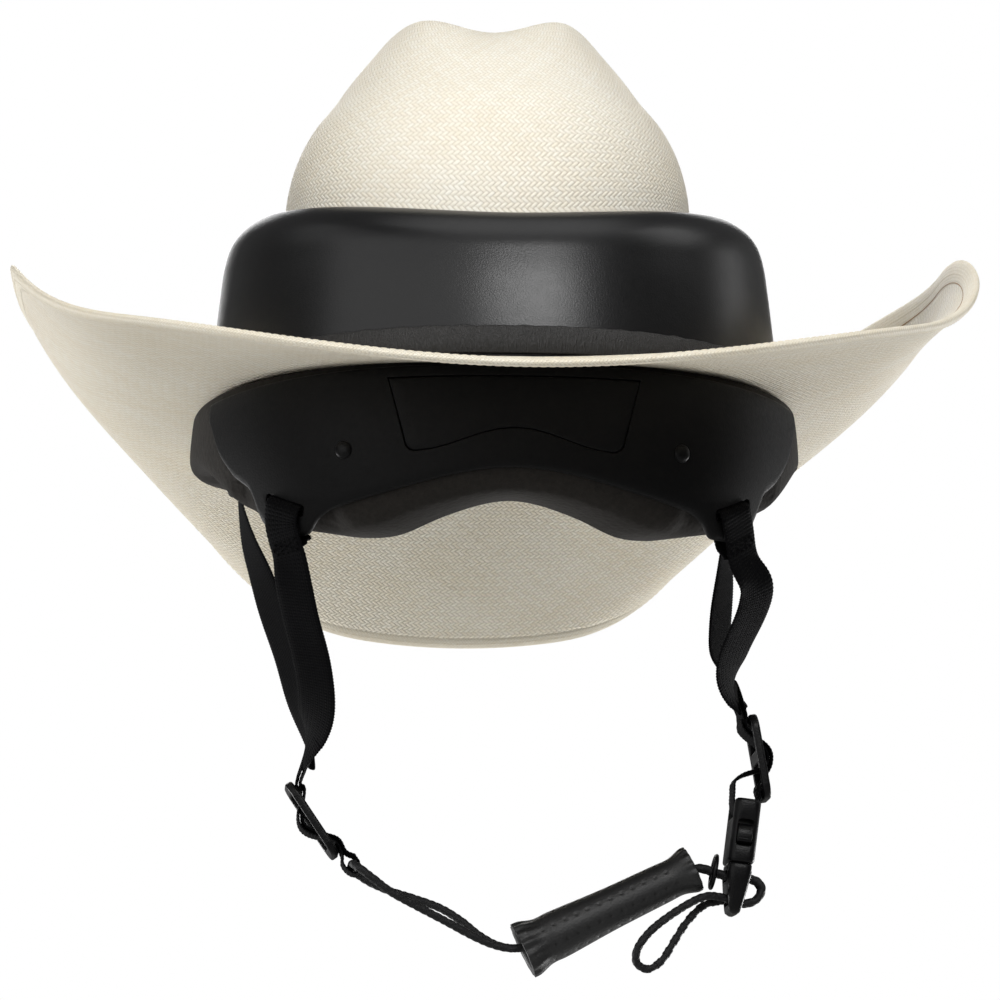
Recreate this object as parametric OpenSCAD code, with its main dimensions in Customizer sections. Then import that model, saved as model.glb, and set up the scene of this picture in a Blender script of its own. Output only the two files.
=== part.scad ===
// Western hat helmet: a straw hat built over a riding helmet, with its chin harness.
// +X is the wearer's right, +Y the wearer's front, +Z up.
// The origin is the centre of the head opening at the height of the brim.

/* [Brim] */
// Half width of the flat brim, side to side
brim_half_width = 197; // [180:1:230]
// Reach of the flat brim from the origin to the front
brim_front = 238; // [215:1:270]
// Reach of the flat brim from the origin to the rear
brim_rear = 231; // [210:1:262]
// Thickness of the straw
brim_thickness = 2.2; // [1.6:0.1:3]
// Distance from the centre line at which the sides start to roll up
roll_start = 125; // [112:1:140]
// Steepest angle of the right side's roll
roll_right = 110; // [60:1:120]
// Steepest angle of the left side's roll
roll_left = 78; // [50:1:120]
// Length of straw over which the roll builds up
roll_span = 105; // [80:1:140]
// Slope of the sides where they leave the band
side_lift = 18; // [5:1:25]
// Droop of the front
front_droop = 26; // [10:1:32]
// Droop of the rear
rear_droop = 14.2; // [5:0.1:20]
// Seam between the brim and its turned edge
hem_seam = 0.5; // [0.4:0.1:0.8]
// Width of the turned and sewn edge
hem_width = 8; // [5:0.5:12]
// Thickness of the turned edge
hem_thickness = 3.1; // [2.4:0.1:6]

/* [Band and shell] */
// Half width of the shell where it meets the brim
band_half_width = 111; // [92:1:132]
// Half length of the shell where it meets the brim
band_half_length = 130; // [108:1:156]
// Wall of the shell
shell_wall = 2.5; // [1.6:0.1:4]
// Height of the shell's shoulder at the sides
shoulder_z = 75.5; // [70:1:84]
// How much lower the shoulder lies at the front and rear
shoulder_dip = 16.5; // [0:0.5:20]
// Height of the leather strip round the shell's foot
strip_height = 10.5; // [6:0.5:18]
// Thickness of the leather strip
strip_thickness = 1.2; // [0.8:0.1:2]

/* [Crown] */
// Thickness of the crown's straw
crown_wall = 2; // [1.4:0.1:3]
// Height of the crown above the brim
crown_top_z = 154.5; // [145:0.5:175]
// Depth of the crease along the crown's top
crease_depth = 18; // [8:1:24]
// Depth of the crease where it leaves the crown, front and rear
crease_end_depth = 8.5; // [4:0.5:14]
// Half width of the crease
crease_half_width = 32; // [18:1:36]
// Share of its width that the crown loses at the two front dents
front_dent = 0.16; // [0:0.01:0.22]
// How far the crown sits to the left of the band's middle
crown_shift = 2.5; // [0:0.5:4]

/* [Liner and pads] */
// Half width of the head space inside the foam
cavity_half_width = 82; // [70:1:88]
// Half length of the head space inside the foam
cavity_half_length = 102; // [88:1:106]
// Height of the head space above the brim
cavity_height = 100; // [85:1:104]
// Thickness of the comfort pads
pad_thickness = 6; // [4:0.5:8]

/* [Rear cover] */
// Thickness of the rear cover
cover_thickness = 2.8; // [2:0.1:4]
// Height of the cover's upper edge, below the brim
cover_top = 5; // [4:0.5:7]
// Half width of the centre insert at its top
insert_half_width = 46; // [34:1:50]
// Seam round the centre insert
insert_seam = 0.4; // [0.2:0.1:0.8]
// Radius of the snap rivets' heads
rivet_head_r = 3.3; // [2.5:0.1:4.5]
// Radius of the snap rivets' shanks
rivet_shank_r = 1.8; // [1.2:0.1:2.2]
// How much longer the strap slots are than the webbing is wide
slot_clearance = 2.5; // [1:0.5:4]
// Height of the strap slots
slot_height = 4.6; // [4:0.2:5]

/* [Harness] */
// Width of the webbing
strap_width = 16; // [13:0.5:16.5]
// Thickness of the webbing
strap_thickness = 1.2; // [0.9:0.1:1.3]
// Width of a slider
slider_width = 23; // [22:0.5:28]
// Height of a slider
slider_height = 33; // [32:0.5:38]
// Thickness of a slider
slider_thickness = 3; // [2.4:0.1:3.2]
// Diameter of the lace
lace_d = 3.2; // [2.4:0.1:3.4]
// Length of the chin pad
pad_length = 72; // [66:1:73]
// Radius of the chin pad at its middle
pad_r = 8.2; // [7:0.1:9]
// Radius of the chin pad's bore
pad_bore_r = 4.2; // [4:0.1:5]
// Thickness of the chin pad's leather
leather = 1.3; // [0.8:0.1:1.8]
// Radius of the lace stopper
stopper_r = 7; // [5.5:0.1:8]

/* [Buckle] */
// Width of the buckle
buckle_width = 25; // [23:0.5:30]
// Thickness of the buckle
buckle_thickness = 10; // [9:0.5:12]
// Length of the buckle's housing
housing_length = 24.5; // [23:0.5:30]
// Wall of the housing at the prongs
housing_wall = 1.6; // [1.2:0.1:2.2]
// Length of the plug below the housing
plug_length = 19; // [18:0.5:24]

/* [Hidden] */
$fn = 48;

// steps round the hat, and the gap that soft pieces keep from their neighbours
around = 48;
gap = 0.3;

// plan shapes: the power of the helmet's oval, and of the brim's outer edge
plan_power = 2.3;
cavity_power = 2.1;
front_power = 2.8;
rear_power = 2.1;
// how far the roll's start moves in at the front and out at the rear
fold_in_front = 0.63;
fold_out_rear = 0.18;
fold_reach = 225;

function unit(v) = v / norm(v);
function sum(v) = v * [for (x = v) 1];
function plan(a, b, t, n = plan_power) =
    let (c = cos(t), s = sin(t), k = pow(pow(abs(c), n) + pow(abs(s), n), -1 / n)) [a * c * k, b * s * k];
function raised(p, z) = [p.x, p.y, z];
function angles(n = around) = [for (i = [0 : n - 1]) 360 * i / n];

// a solid through stacked rings, each capped to its own middle
module loft(rings) {
    m = len(rings);
    n = len(rings[0]);
    middle = function(r) [for (k = [0 : 2]) sum([for (p = r) p[k]]) / n];
    polyhedron(
        points = concat([for (r = rings) each r], [middle(rings[0]), middle(rings[m - 1])]),
        faces = concat(
            [for (i = [0 : m - 2], j = [0 : n - 1]) [i * n + j, (i + 1) * n + j, (i + 1) * n + (j + 1) % n]],
            [for (i = [0 : m - 2], j = [0 : n - 1]) [i * n + j, (i + 1) * n + (j + 1) % n, i * n + (j + 1) % n]],
            [for (j = [0 : n - 1]) [m * n, j, (j + 1) % n]],
            [for (j = [0 : n - 1]) [m * n + 1, (m - 1) * n + (j + 1) % n, (m - 1) * n + j]]));
}

// a closed ring through sections that run all the way round
module hoop(sections) {
    m = len(sections);
    n = len(sections[0]);
    polyhedron(
        points = [for (r = sections) each r],
        faces = concat(
            [for (i = [0 : m - 1], j = [0 : n - 1])
                [i * n + j, ((i + 1) % m) * n + j, ((i + 1) % m) * n + (j + 1) % n]],
            [for (i = [0 : m - 1], j = [0 : n - 1])
                [i * n + j, ((i + 1) % m) * n + (j + 1) % n, i * n + (j + 1) % n]]));
}

// Brim: a flat oval whose sides roll up and whose ends droop
function roll_angle(over, steepest) =
    let (q = min(over / roll_span, 1)) steepest * q * q * (3 - 2 * q);
function roll_run(over, steepest) =
    over / 8 * sum([for (i = [0.5 : 1 : 7.5]) cos(roll_angle(over * i / 8, steepest))]);
function roll_rise(over, steepest) =
    over / 8 * sum([for (i = [0.5 : 1 : 7.5]) sin(roll_angle(over * i / 8, steepest))]);
function brim_inner(t) = plan(band_half_width + gap, band_half_length + gap, t);
function brim_outer(t) = sin(t) > 0
    ? plan(brim_half_width, brim_front, t, front_power)
    : plan(brim_half_width, brim_rear, t, rear_power);
function brim_point(t, f) =
    let (inner = brim_inner(t), flat = inner + f * (brim_outer(t) - inner),
         fold = roll_start * (1 - (flat.y > 0 ? fold_in_front : -fold_out_rear) * pow(flat.y / fold_reach, 2)),
         over = max(abs(flat.x) - fold, 0),
         steepest = flat.x < 0 ? roll_left : roll_right,
         out = norm(flat - inner),
         droop = tan(sin(t) > 0 ? front_droop : rear_droop))
    [sign(flat.x) * (min(abs(flat.x), fold) + roll_run(over, steepest)),
     flat.y,
     roll_rise(over, steepest) - droop * out * pow(sin(t), 2) + tan(side_lift) * out * pow(cos(t), 2)];
function brim_normal(t, f) =
    unit(cross(brim_point(t, f + 0.01) - brim_point(t, f - 0.01), brim_point(t + 1, f) - brim_point(t - 1, f)));
function from_edge(t, d) = 1 - d / norm(brim_outer(t) - brim_inner(t));
function off_brim(t, f, h) = brim_point(t, f) + h * brim_normal(t, f);

brim_steps = 8;
module straw_brim() color("ivory") hoop([for (t = angles())
    let (last = from_edge(t, hem_width + hem_seam))
    concat([for (i = [0 : brim_steps]) off_brim(t, last * i / brim_steps, -brim_thickness / 2)],
           [for (i = [brim_steps : -1 : 0]) off_brim(t, last * i / brim_steps, brim_thickness / 2)])]);

// the edge is turned under and sewn, so it is about twice as thick and round at its rim
hem_profile = [[0, -0.5], [0.1, -0.92], [0.5, -1], [0.85, -0.85], [1, -0.35], [1, 0.35], [0.85, 0.85],
    [0.5, 1], [0.1, 0.92], [0, 0.5]];
module brim_edge() color("linen") hoop([for (t = angles())
    [for (p = hem_profile) off_brim(t, from_edge(t, hem_width * (1 - p[0])),
        (abs(p[1]) == 0.5 ? brim_thickness / 2 : hem_thickness / 2 * abs(p[1])) * sign(p[1]))]]);

// Shell: a band with a round shoulder, closed by a dome inside the crown.
// Each row is the inset from the band's foot, the height and the share of the shoulder's dip.
shell_foot = -2;
shell_profile = [[0, shell_foot, 0], [1, 15, 0], [2.5, 32, 0.2], [4, 46, 0.5], [5.5, shoulder_z - 18, 0.8],
    [8, shoulder_z - 10, 1], [13, shoulder_z - 4.5, 1], [20, shoulder_z - 1.5, 1], [36, shoulder_z, 1],
    [39.5, shoulder_z + 2, 0.95], [48, shoulder_z + 18, 0.4], [60, shoulder_z + 32, 0],
    [75, shoulder_z + 41.5, 0], [93, shoulder_z + 46, 0]];
function dip(t) = shoulder_dip * pow(sin(t), 2);
function shell_ring(row, in = 0, down = 0, n = around) = [for (t = angles(n))
    raised(plan(band_half_width - row[0] - in, band_half_length - row[0] - in, t), row[1] - down - row[2] * dip(t))];
module helmet_shell() color("black") loft(concat(
    [for (i = [len(shell_profile) - 1 : -1 : 1])
        shell_ring(shell_profile[i], shell_wall * (i > 9 ? 0.6 : 1), i > 5 ? shell_wall : 0)],
    [shell_ring(shell_profile[0], shell_wall)],
    [for (row = shell_profile) shell_ring(row)]));

// Leather strip round the foot of the shell, above the brim
strip_foot = 2.2;
function shell_taper(z) = (z - shell_foot) / (shell_profile[1][1] - shell_foot);
module shell_base_strip() color("dimgray") hoop([for (t = angles())
    [for (p = [[0.15, strip_foot], [strip_thickness, strip_foot], [strip_thickness + 0.15, strip_height / 2],
               [strip_thickness - 0.2, strip_height], [0.15, strip_height]])
        raised(plan(band_half_width - shell_taper(p[1]) + p[0], band_half_length - shell_taper(p[1]) + p[0], t), p[1])]]);

// Crown: straight lower wall, leaning in to a creased top with two front dents
crown_half_width = band_half_width - 31.5;
crown_half_length = band_half_length - 28.5;
crown_end_taper = 1.3;
crown_foot = shoulder_z + 0.7;
crown_rise = crown_top_z - crown_foot;
// inset from the crown's foot, share of the height, share of the shoulder's dip, share of the crease
crown_profile = [[0, 0, 1, 0], [0.8, 0.14, 0.7, 0], [3.7, 0.29, 0.35, 0], [9, 0.43, 0.1, 0], [16.8, 0.56, 0, 0],
    [24.2, 0.7, 0, 0.1], [32.5, 0.84, 0, 0.4], [38.5, 0.94, 0, 0.8], [43.5, 1, 0, 1]];
crown_top_inset = crown_profile[len(crown_profile) - 1][0];
top_shares = [0.8, 0.6, 0.4, 0.2];
function crease(x) = abs(x) < crease_half_width ? 0.5 + 0.5 * cos(180 * x / crease_half_width) : 0;
function dented(p) =
    [p.x * (1 - front_dent * exp(-pow((p.y - 38) / 20, 2) - pow((p.z - 138) / 20, 2))) - crown_shift, p.y, p.z];
function crown_ring(row, in, down) = [for (t = angles())
    let (p = plan(crown_half_width - row[0] - in, crown_half_length - crown_end_taper * row[0] - in, t))
    dented([p.x, p.y, crown_foot + crown_rise * row[1] - row[2] * dip(t) - row[3] * crease_end_depth * crease(p.x) - down])];
function crown_top(share, down) = [for (t = angles())
    let (a = crown_half_width - crown_top_inset, b = crown_half_length - crown_end_taper * crown_top_inset,
         p = share * plan(a, b, t),
         depth = crease_end_depth + (crease_depth - crease_end_depth) * (1 - pow(p.y / b, 2)))
    dented([p.x, p.y, crown_top_z + 1 - share * share - depth * crease(p.x) - down])];
module straw_crown() color("ivory") loft(concat(
    [for (i = [len(top_shares) - 1 : -1 : 0]) crown_top(top_shares[i], crown_wall)],
    [for (i = [len(crown_profile) - 1 : -1 : 0]) crown_ring(crown_profile[i], crown_wall, i > 4 ? crown_wall / 2 : 0)],
    [for (row = crown_profile) crown_ring(row, 0, 0)],
    [for (s = top_shares) crown_top(s, 0)]));

// Lower body: the foam below the brim, which the rear cover wraps.
// Heights run by the angle from the rear centre.
function from_rear(t) = let (a = abs(t - 270)) min(a, 360 - a);
foam_edge = [[0, -48], [18, -56], [27, -62], [38, -61], [50, -56], [54, -51.5], [59.5, -43], [67.5, -31], [75, -25],
    [90, -20], [110, -17], [140, -12], [180, -7]];
function foam_low(t) = lookup(from_rear(t), foam_edge);
function bulge_share(z) = pow((z + 22) / 44, 2);
function lower_a(z) = band_half_width + 7 - 7 * bulge_share(z);
function lower_b(z) = band_half_length + 4 - 10 * bulge_share(z);
function lower_point(t, z, out) = raised(plan(lower_a(z) + out, lower_b(z) + out, t), z);
// the foam is let in behind the strap slots, so that the webbing can turn there
function relief(t, z) = z < -38 && from_rear(t) > 32 && from_rear(t) < 57 ? 3.4 : 0;
function foam_ring(share, in) = [for (t = angles())
    let (z = foam_low(t) + share * (-3.2 - foam_low(t))) lower_point(t, z, -in - relief(t, z))];
function cavity_share(z) = z > 0 ? sqrt(max(0, 1 - pow(z / cavity_height, 2))) : 1;
function cavity_point(t, z, in = 0) =
    raised(plan(cavity_half_width * cavity_share(z) - in, cavity_half_length * cavity_share(z) - in, t, cavity_power), z);
foam_inset = shell_wall + gap;
module foam_liner() color([0.27, 0.25, 0.24]) loft(concat(
    [for (f = [84, 76, 68, 59, 50, 40, 31, 24, 18, 12, 6, 0]) [for (t = angles()) cavity_point(t, cavity_height * sin(f))]],
    [[for (t = angles()) cavity_point(t, foam_low(t) + 4)]],
    [[for (t = angles()) raised(cavity_point(t, 0, -3), foam_low(t))]],
    [foam_ring(0, 5), foam_ring(0.1, 1), foam_ring(0.3, 0), foam_ring(0.53, 0), foam_ring(0.76, 0), foam_ring(1, 0)],
    [[for (t = angles()) raised(plan(band_half_width - foam_inset - 0.2, band_half_length - foam_inset - 0.2, t), -2.9)]],
    [for (i = [1 : len(shell_profile) - 1])
        shell_ring(shell_profile[i], foam_inset * (i > 9 ? 0.8 : 1), i > 5 ? foam_inset : 0)]));

// Comfort pads: a crowned patch on the head space's wall, drawn in at its edges
function bulge(u, v) = 0.35 + 0.65 * pow((1 - pow(u, 4)) * (1 - pow(v, 4)), 0.5);
pad_rows = 6;
pad_gap = gap + 0.3;
module wall_pad(middle, half_angle, low, high, steps) {
    span = function(i) middle + half_angle * (2 * i / steps - 1);
    height = function(j) low + (high - low) * j / pad_rows;
    loft([for (i = [0 : steps]) concat(
        [for (j = [pad_rows : -1 : 0]) cavity_point(span(i), height(j), pad_gap)],
        [for (j = [0 : pad_rows]) cavity_point(span(i), height(j),
            pad_gap + pad_thickness * bulge(2 * i / steps - 1, 2 * j / pad_rows - 1))])]);
}
module brow_pad() color("dimgray") wall_pad(90, 46, -2, 30, 12);
module left_side_pad() color("dimgray") wall_pad(180, 30, -11, 26, 8);
module right_side_pad() color("dimgray") wall_pad(0, 30, -11, 26, 8);
module nape_pad() color("dimgray") wall_pad(270, 40, -42, -8, 10);
module crown_pad() color("dimgray") {
    at = function(share, down) [for (t = angles(24))
        raised(plan(cavity_half_width * share, cavity_half_length * share, t, cavity_power),
            cavity_height * sqrt(1 - share * share) - down)];
    loft([for (s = [[0.15, 1.07], [0.3, 1.03], [0.42, 0.87], [0.48, 0.53], [0.49, 0.23], [0.46, 0.1], [0.3, 0.1], [0.15, 0.1]])
        at(s[0], gap + 0.1 + s[1] * pad_thickness)]);
}

// Rear cover: a shell round the back of the foam, with a slot for each rear strap
cover_edge = [[0, -42], [10, -44.5], [18, -48.5], [27, -52.5], [33, -55], [36, -58], [38, -63], [43, -63], [46.5, -60],
    [48.5, -54], [49, -45], [53.6, -38.5], [58.2, -28], [61, -17], [62, -14]];
cover_span = 62;
cover_steps = 36;
function cover_low(t) = lookup(from_rear(t), cover_edge);
function cover_high(t) = -cover_top - 2 * pow(from_rear(t) / cover_span, 2);
module cover_body() loft([for (i = [0 : cover_steps])
    let (t = 270 + cover_span * (2 * i / cover_steps - 1), low = cover_low(t), high = cover_high(t))
    concat([for (j = [5 : -1 : 0]) lower_point(t, low + (high - low) * j / 5, gap)],
           [for (j = [0 : 5]) lower_point(t, low + (high - low) * j / 5, gap + cover_thickness)])]);

// the frame of a place on the cover's outer face: [point, along to the rear centre, down, outward]
function cover_frame(t, z) =
    let (toward = t < 270 ? 1 : -1,
         along = unit(lower_point(t + toward, z, 0) - lower_point(t - toward, z, 0)),
         outward = unit(cross(lower_point(t, z - 1, 0) - lower_point(t, z + 1, 0), along)) * toward)
    [lower_point(t, z, gap + cover_thickness), along, toward * cross(along, outward), outward];
module placed(f) {
    v = cross(f[3], f[1]);
    multmatrix([for (r = [0 : 2]) [f[1][r], v[r], f[3][r], f[0][r]]]) children();
}

slot_length = strap_width + slot_clearance;
slot_from_rear = 42;
slot_z = -52;
slot_tilt = 22;
// the slot runs down toward the rear centre, so its own frame is turned by the tilt
function slot_frame(side) =
    let (f = cover_frame(270 + side * slot_from_rear, slot_z))
    [f[0], cos(slot_tilt) * f[1] + sin(slot_tilt) * f[2], cos(slot_tilt) * f[2] - sin(slot_tilt) * f[1], f[3]];
rivet_from_rear = 29.5;
rivet_z = -35;
insert_low = -37;
insert_high = -9.5;
insert_taper = 6;
insert_corner = 4;
insert_rise = 8;
module insert_outline(less) {
    top = insert_half_width - less;
    bottom = insert_half_width - insert_taper - less;
    reach = bottom - insert_corner;
    polygon(concat([[-top, insert_high - less], [-bottom, insert_low + insert_corner]],
        [for (a = [180 : 15 : 270]) [-reach, insert_low + less + insert_corner] + insert_corner * [cos(a), sin(a)]],
        [for (i = [-5 : 5]) [reach * i / 6, insert_low + less + insert_rise * (0.5 + 0.5 * cos(30 * i))]],
        [for (a = [270 : 15 : 360]) [reach, insert_low + less + insert_corner] + insert_corner * [cos(a), sin(a)]],
        [[bottom, insert_low + insert_corner], [top, insert_high - less]]));
}
module insert_prism(less) rotate([90, 0, 0]) linear_extrude(height = 2 * band_half_length) insert_outline(less);
module rear_cover() color([0.1, 0.1, 0.1]) difference() {
    cover_body();
    insert_prism(0);
    for (side = [-1, 1]) {
        placed(slot_frame(side)) cube([slot_length, slot_height, 4 * cover_thickness], center = true);
        placed(cover_frame(270 + side * rivet_from_rear, rivet_z))
            cylinder(r = rivet_shank_r + 0.1, h = 4 * cover_thickness, center = true);
    }
}
module cover_insert() color([0.12, 0.12, 0.12]) intersection() {
    cover_body();
    insert_prism(insert_seam);
}
rivet_head_h = 1.4;
module cover_rivets() color("black") for (side = [-1, 1])
    placed(cover_frame(270 + side * rivet_from_rear, rivet_z)) {
        translate([0, 0, -cover_thickness + 0.2]) cylinder(r = rivet_shank_r, h = cover_thickness);
        translate([0, 0, 0.15]) cylinder(r = rivet_head_r, h = rivet_head_h);
    }

// Front strap anchors: a slotted plate under the foam on each side
anchor_y = 34;
anchor_x = band_half_width - 13;
anchor_h = 3;
anchor_top = -19.2;
module front_anchor(side) color("black") translate([side * anchor_x, anchor_y, anchor_top - anchor_h]) difference() {
    translate([-5, -13, 0]) cube([10, 26, anchor_h]);
    translate([-1.4, -strap_width / 2 - 0.4, -1]) cube([2.8, strap_width + 0.8, anchor_h + 2]);
}
module left_front_anchor() front_anchor(-1);
module right_front_anchor() front_anchor(1);

// Webbing: each station is [point, direction across the strap]
function smooth(p, k) = concat(
    [for (i = [0 : len(p) - 2], j = [0 : k - 1]) let (
        a = p[max(i - 1, 0)], b = p[i], c = p[i + 1], d = p[min(i + 2, len(p) - 1)], u = j / k)
        0.5 * (2 * b + (c - a) * u + (2 * a - 5 * b + 4 * c - d) * u * u + (3 * b - a - 3 * c + d) * u * u * u)],
    [p[len(p) - 1]]);
function stations(route) = [for (q = smooth(route, 3)) [[q[0], q[1], q[2]], [cos(q[3]), sin(q[3]), 0]]];
module webbing(s) {
    last = len(s) - 1;
    loft([for (i = [0 : last]) let (
        t = unit(s[min(i + 1, last)][0] - s[max(i - 1, 0)][0]),
        up = unit(cross(t, s[i][1])), across = cross(up, t))
        [for (c = [[1, 1], [-1, 1], [-1, -1], [1, -1]])
            s[i][0] + c[0] * across * strap_width / 2 + c[1] * up * strap_thickness / 2]]);
}

// at the slot the strap goes in, turns behind the cover's rim and is sewn back on itself: outward, down, and how
// far it has turned from the slot's tilt to the tilt and the sideways drift that it hangs with
slot_turn = [[-0.6, 17.5, 1], [-1.4, 15.2, 0.85], [-cover_thickness - 1.6, 11.8, 0.5], [-cover_thickness - 1.6, 1.4, 0],
    [-cover_thickness - 0.3, -0.9, 0], [-0.2, -0.9, 0], [1, 1.2, 0], [1, 5, 0.12], [1, 9, 0.35], [1, 13, 0.65], [1, 17.5, 1]];
function slot_stations(side, drift, hang) = let (f = cover_frame(270 + side * slot_from_rear, slot_z))
    [for (q = slot_turn) let (tilt = slot_tilt + (hang - slot_tilt) * q[2],
        shift = drift * q[2] - tan(slot_tilt) * q[1] * (1 - q[2]))
    [f[0] + q[0] * f[3] + q[1] * f[2] + shift * f[1], -side * (cos(tilt) * f[1] + sin(tilt) * f[2])]];

// the sliders' own frames: centre and lean, with local Z along the webbing
harness_y = -26;
left_slider_at = [-70, harness_y, -159];
left_lean = -34;
right_slider_at = [99.8, harness_y, -134];
right_lean = -9.5;
function leaned(at, lean, x, z) = at + [x * cos(lean) + z * sin(lean), 0, -x * sin(lean) + z * cos(lean)];
slider_bar = 2.4;
slider_slot = 9.6;
bar_near = slider_thickness / 2 + gap + strap_thickness / 2;
bar_far = bar_near + strap_thickness + 0.5;
// the near layer passes over the end bars next to them and behind the middle bar farther out
near_weave = [[18, bar_near + 4.1], [14, bar_near], [11, bar_near], [3, -bar_far], [-3, -bar_far], [-11, bar_near], [-17, bar_near]];
far_weave = [[18, bar_far + 5.2], [14, bar_far], [11, bar_far], [3, -bar_near], [-3, -bar_near], [-11, bar_far], [-17, bar_far]];
function weave(path, at, lean, flip, across) = [for (q = path) [leaned(at, lean, flip * q[1], q[0]), across]];

// the loop of webbing below the left slider, which the lace runs through: [along, out]
loop_mid = (bar_near + bar_far) / 2;
loop_gap = 2.6;
left_loop = [[-20, loop_mid - loop_gap], [-23, loop_mid - loop_gap], [-25.4, loop_mid - 1.5], [-26.2, loop_mid],
    [-25.4, loop_mid + 1.5], [-23, loop_mid + loop_gap], [-21, loop_mid + loop_gap]];

// free stretches of the straps: x, y, z and the turn of the strap's width from X
left_rear_route = [[-79, -97, -78, -34], [-76, -87, -90, -36], [-71.5, -74, -104, -33], [-69, -60, -118, -42],
    [-70.5, -43, -128, -70], [-73, -31, -135.5, -86]];
right_rear_route = [[92.3, -89.5, -76, 38], [93, -84, -81.5, 42], [90.8, -74, -89, 46], [87.6, -61, -97, 52],
    [86.8, -50, -103.5, 60], [88, -42, -108, 72], [90.3, -32, -112, 86]];
left_front_route = [[-anchor_x, anchor_y, anchor_top - 0.6, -90], [-anchor_x, anchor_y - 0.5, anchor_top - 8, -87],
    [-anchor_x + 3, 30.5, -42, -72], [-90.5, 26, -55, -62], [-85.2, 17, -72, -56],
    [-79, 6, -91, -56], [-74.6, -7, -110, -62], [-70, -18, -127, -78], [-69.8, -23.5, -134, -88]];
right_front_route = [[anchor_x, anchor_y, anchor_top - 0.6, 90], [anchor_x, anchor_y - 0.5, anchor_top - 8, 87],
    [anchor_x - 2.4, 30.5, -40, 74], [94, 24, -55, 62], [90.3, 12, -76, 56],
    [88.4, 1, -92, 62], [90.4, -11, -102, 76], [93, -20, -109, 89]];
across_left = [0, -1, 0];
across_right = [0, 1, 0];
module left_rear_strap() color("black") webbing(concat(slot_stations(-1, -0.5, 6), stations(left_rear_route),
    weave(concat(near_weave, left_loop), left_slider_at, left_lean, 1, across_left)));
module left_front_strap() color("black") webbing(concat(stations(left_front_route),
    weave(concat(far_weave, [[-20, loop_mid + loop_gap], [-20.7, loop_mid + loop_gap]]),
        left_slider_at, left_lean, 1, across_left)));

// Buckle, in its own frame: X through its thickness, Y across, Z up along the webbing
buckle_at = [95, harness_y, -150.5];
buckle_lean = 7.5;
module in_buckle() translate(buckle_at) rotate([0, buckle_lean, 0]) children();
bar_height = 3;
bar_half = 2.5;
web_slot_low = -7.5;
// the right webbing loops under the housing's bar: [x, z] in the buckle's frame
right_loop = [[-5.4, 2.5], [-5, -1.5], [-3.4, -4.6], [0, -5.2], [3.4, -4.6], [4.1, -2.4]];
function in_buckle_frame(q) = leaned(buckle_at, buckle_lean, q[0], q[1]);
right_rear_weave = [[17, bar_far], [11, bar_far], [3, -bar_near], [-2.6, -bar_near - 0.2], [-4.1, -1.4], [-4.4, 0.6],
    [-4.8, 3]];
right_front_weave = [[17, bar_near], [11, bar_near], [3, -bar_far], [-3, -bar_far], [-8, -0.6], [-11, bar_near],
    [-15, bar_near]];
module right_rear_strap() color("black") webbing(concat(slot_stations(1, -9, 16), stations(right_rear_route),
    weave(right_rear_weave, right_slider_at, right_lean, -1, across_right),
    [[[93.6, harness_y, -140.6], across_right], [[90.4, harness_y, -143.2], across_right]],
    [for (q = right_loop) [in_buckle_frame(q), across_right]]));
module right_front_strap() color("black") webbing(concat(stations(right_front_route),
    weave(right_front_weave, right_slider_at, right_lean, -1, across_right),
    [[in_buckle_frame([4.2, -1.6]), across_right]]));

// Slider: a rounded frame with a middle bar
slider_corner = 6;
module rounded(w, h, r) {
    square([w - 2 * r, h], center = true);
    square([w, h - 2 * r], center = true);
    for (x = [-1, 1], y = [-1, 1]) translate([x * (w / 2 - r), y * (h / 2 - r)]) circle(r = r);
}
module slider(at, lean) color("black") translate(at) rotate([0, lean, 0]) rotate([90, 0, 90])
    translate([0, 0, -slider_thickness / 2]) linear_extrude(height = slider_thickness) difference() {
        rounded(slider_width, slider_height, slider_corner);
        for (s = [-1, 1]) translate([0, s * (slider_bar + slider_slot / 2)]) square([strap_width + 1, slider_slot], center = true);
    }
module left_slider() slider(left_slider_at, left_lean);
module right_slider() slider(right_slider_at, right_lean);

prong_y = 8.75;
prong_pivot_z = -housing_length - 1.3;
prong_r = 1.2;
plug_top = -housing_length - 0.2;
cavity_half_x = 3.4;
cavity_half_y = buckle_width / 2 - housing_wall;
window_half_x = 3.2;
window_mid = -housing_length + 11.3;
tongue_top = window_mid + 2.2;
window_half = 5.2;
window_corner = 1.6;
module housing_outline() rounded(buckle_thickness, buckle_width, 3);
module buckle_housing() color("black") in_buckle() difference() {
    translate([0, 0, -housing_length]) linear_extrude(height = housing_length) housing_outline();
    // the slot for the webbing, and the room each side of the bar
    translate([-buckle_thickness, -strap_width / 2 - 0.6, web_slot_low])
        cube([2 * buckle_thickness, strap_width + 1.2, -bar_height - web_slot_low]);
    for (s = [-1, 1]) translate([s * (bar_half + buckle_thickness / 2), 0, 0])
        cube([buckle_thickness, strap_width + 1.2, 4 * bar_height], center = true);
    // the space for the plug, and a window each side for the prongs
    translate([-cavity_half_x, -cavity_half_y, -housing_length - 1])
        cube([2 * cavity_half_x, 2 * cavity_half_y, housing_length - 8.2]);
    translate([0, 0, window_mid]) rotate([90, 0, 0]) linear_extrude(height = 2 * buckle_width, center = true)
        rounded(2 * window_half_x, 2 * window_half, window_corner);
}
module plug_side() polygon([[-4.6, plug_top], [-4.6, plug_top - 3.5], [-3.5, plug_top - 11], [-2.2, plug_top - plug_length + 1],
    [-1, plug_top - plug_length], [1, plug_top - plug_length], [2.2, plug_top - plug_length + 1],
    [3.5, plug_top - 11], [4.6, plug_top - 3.5], [4.6, plug_top]]);
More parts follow.
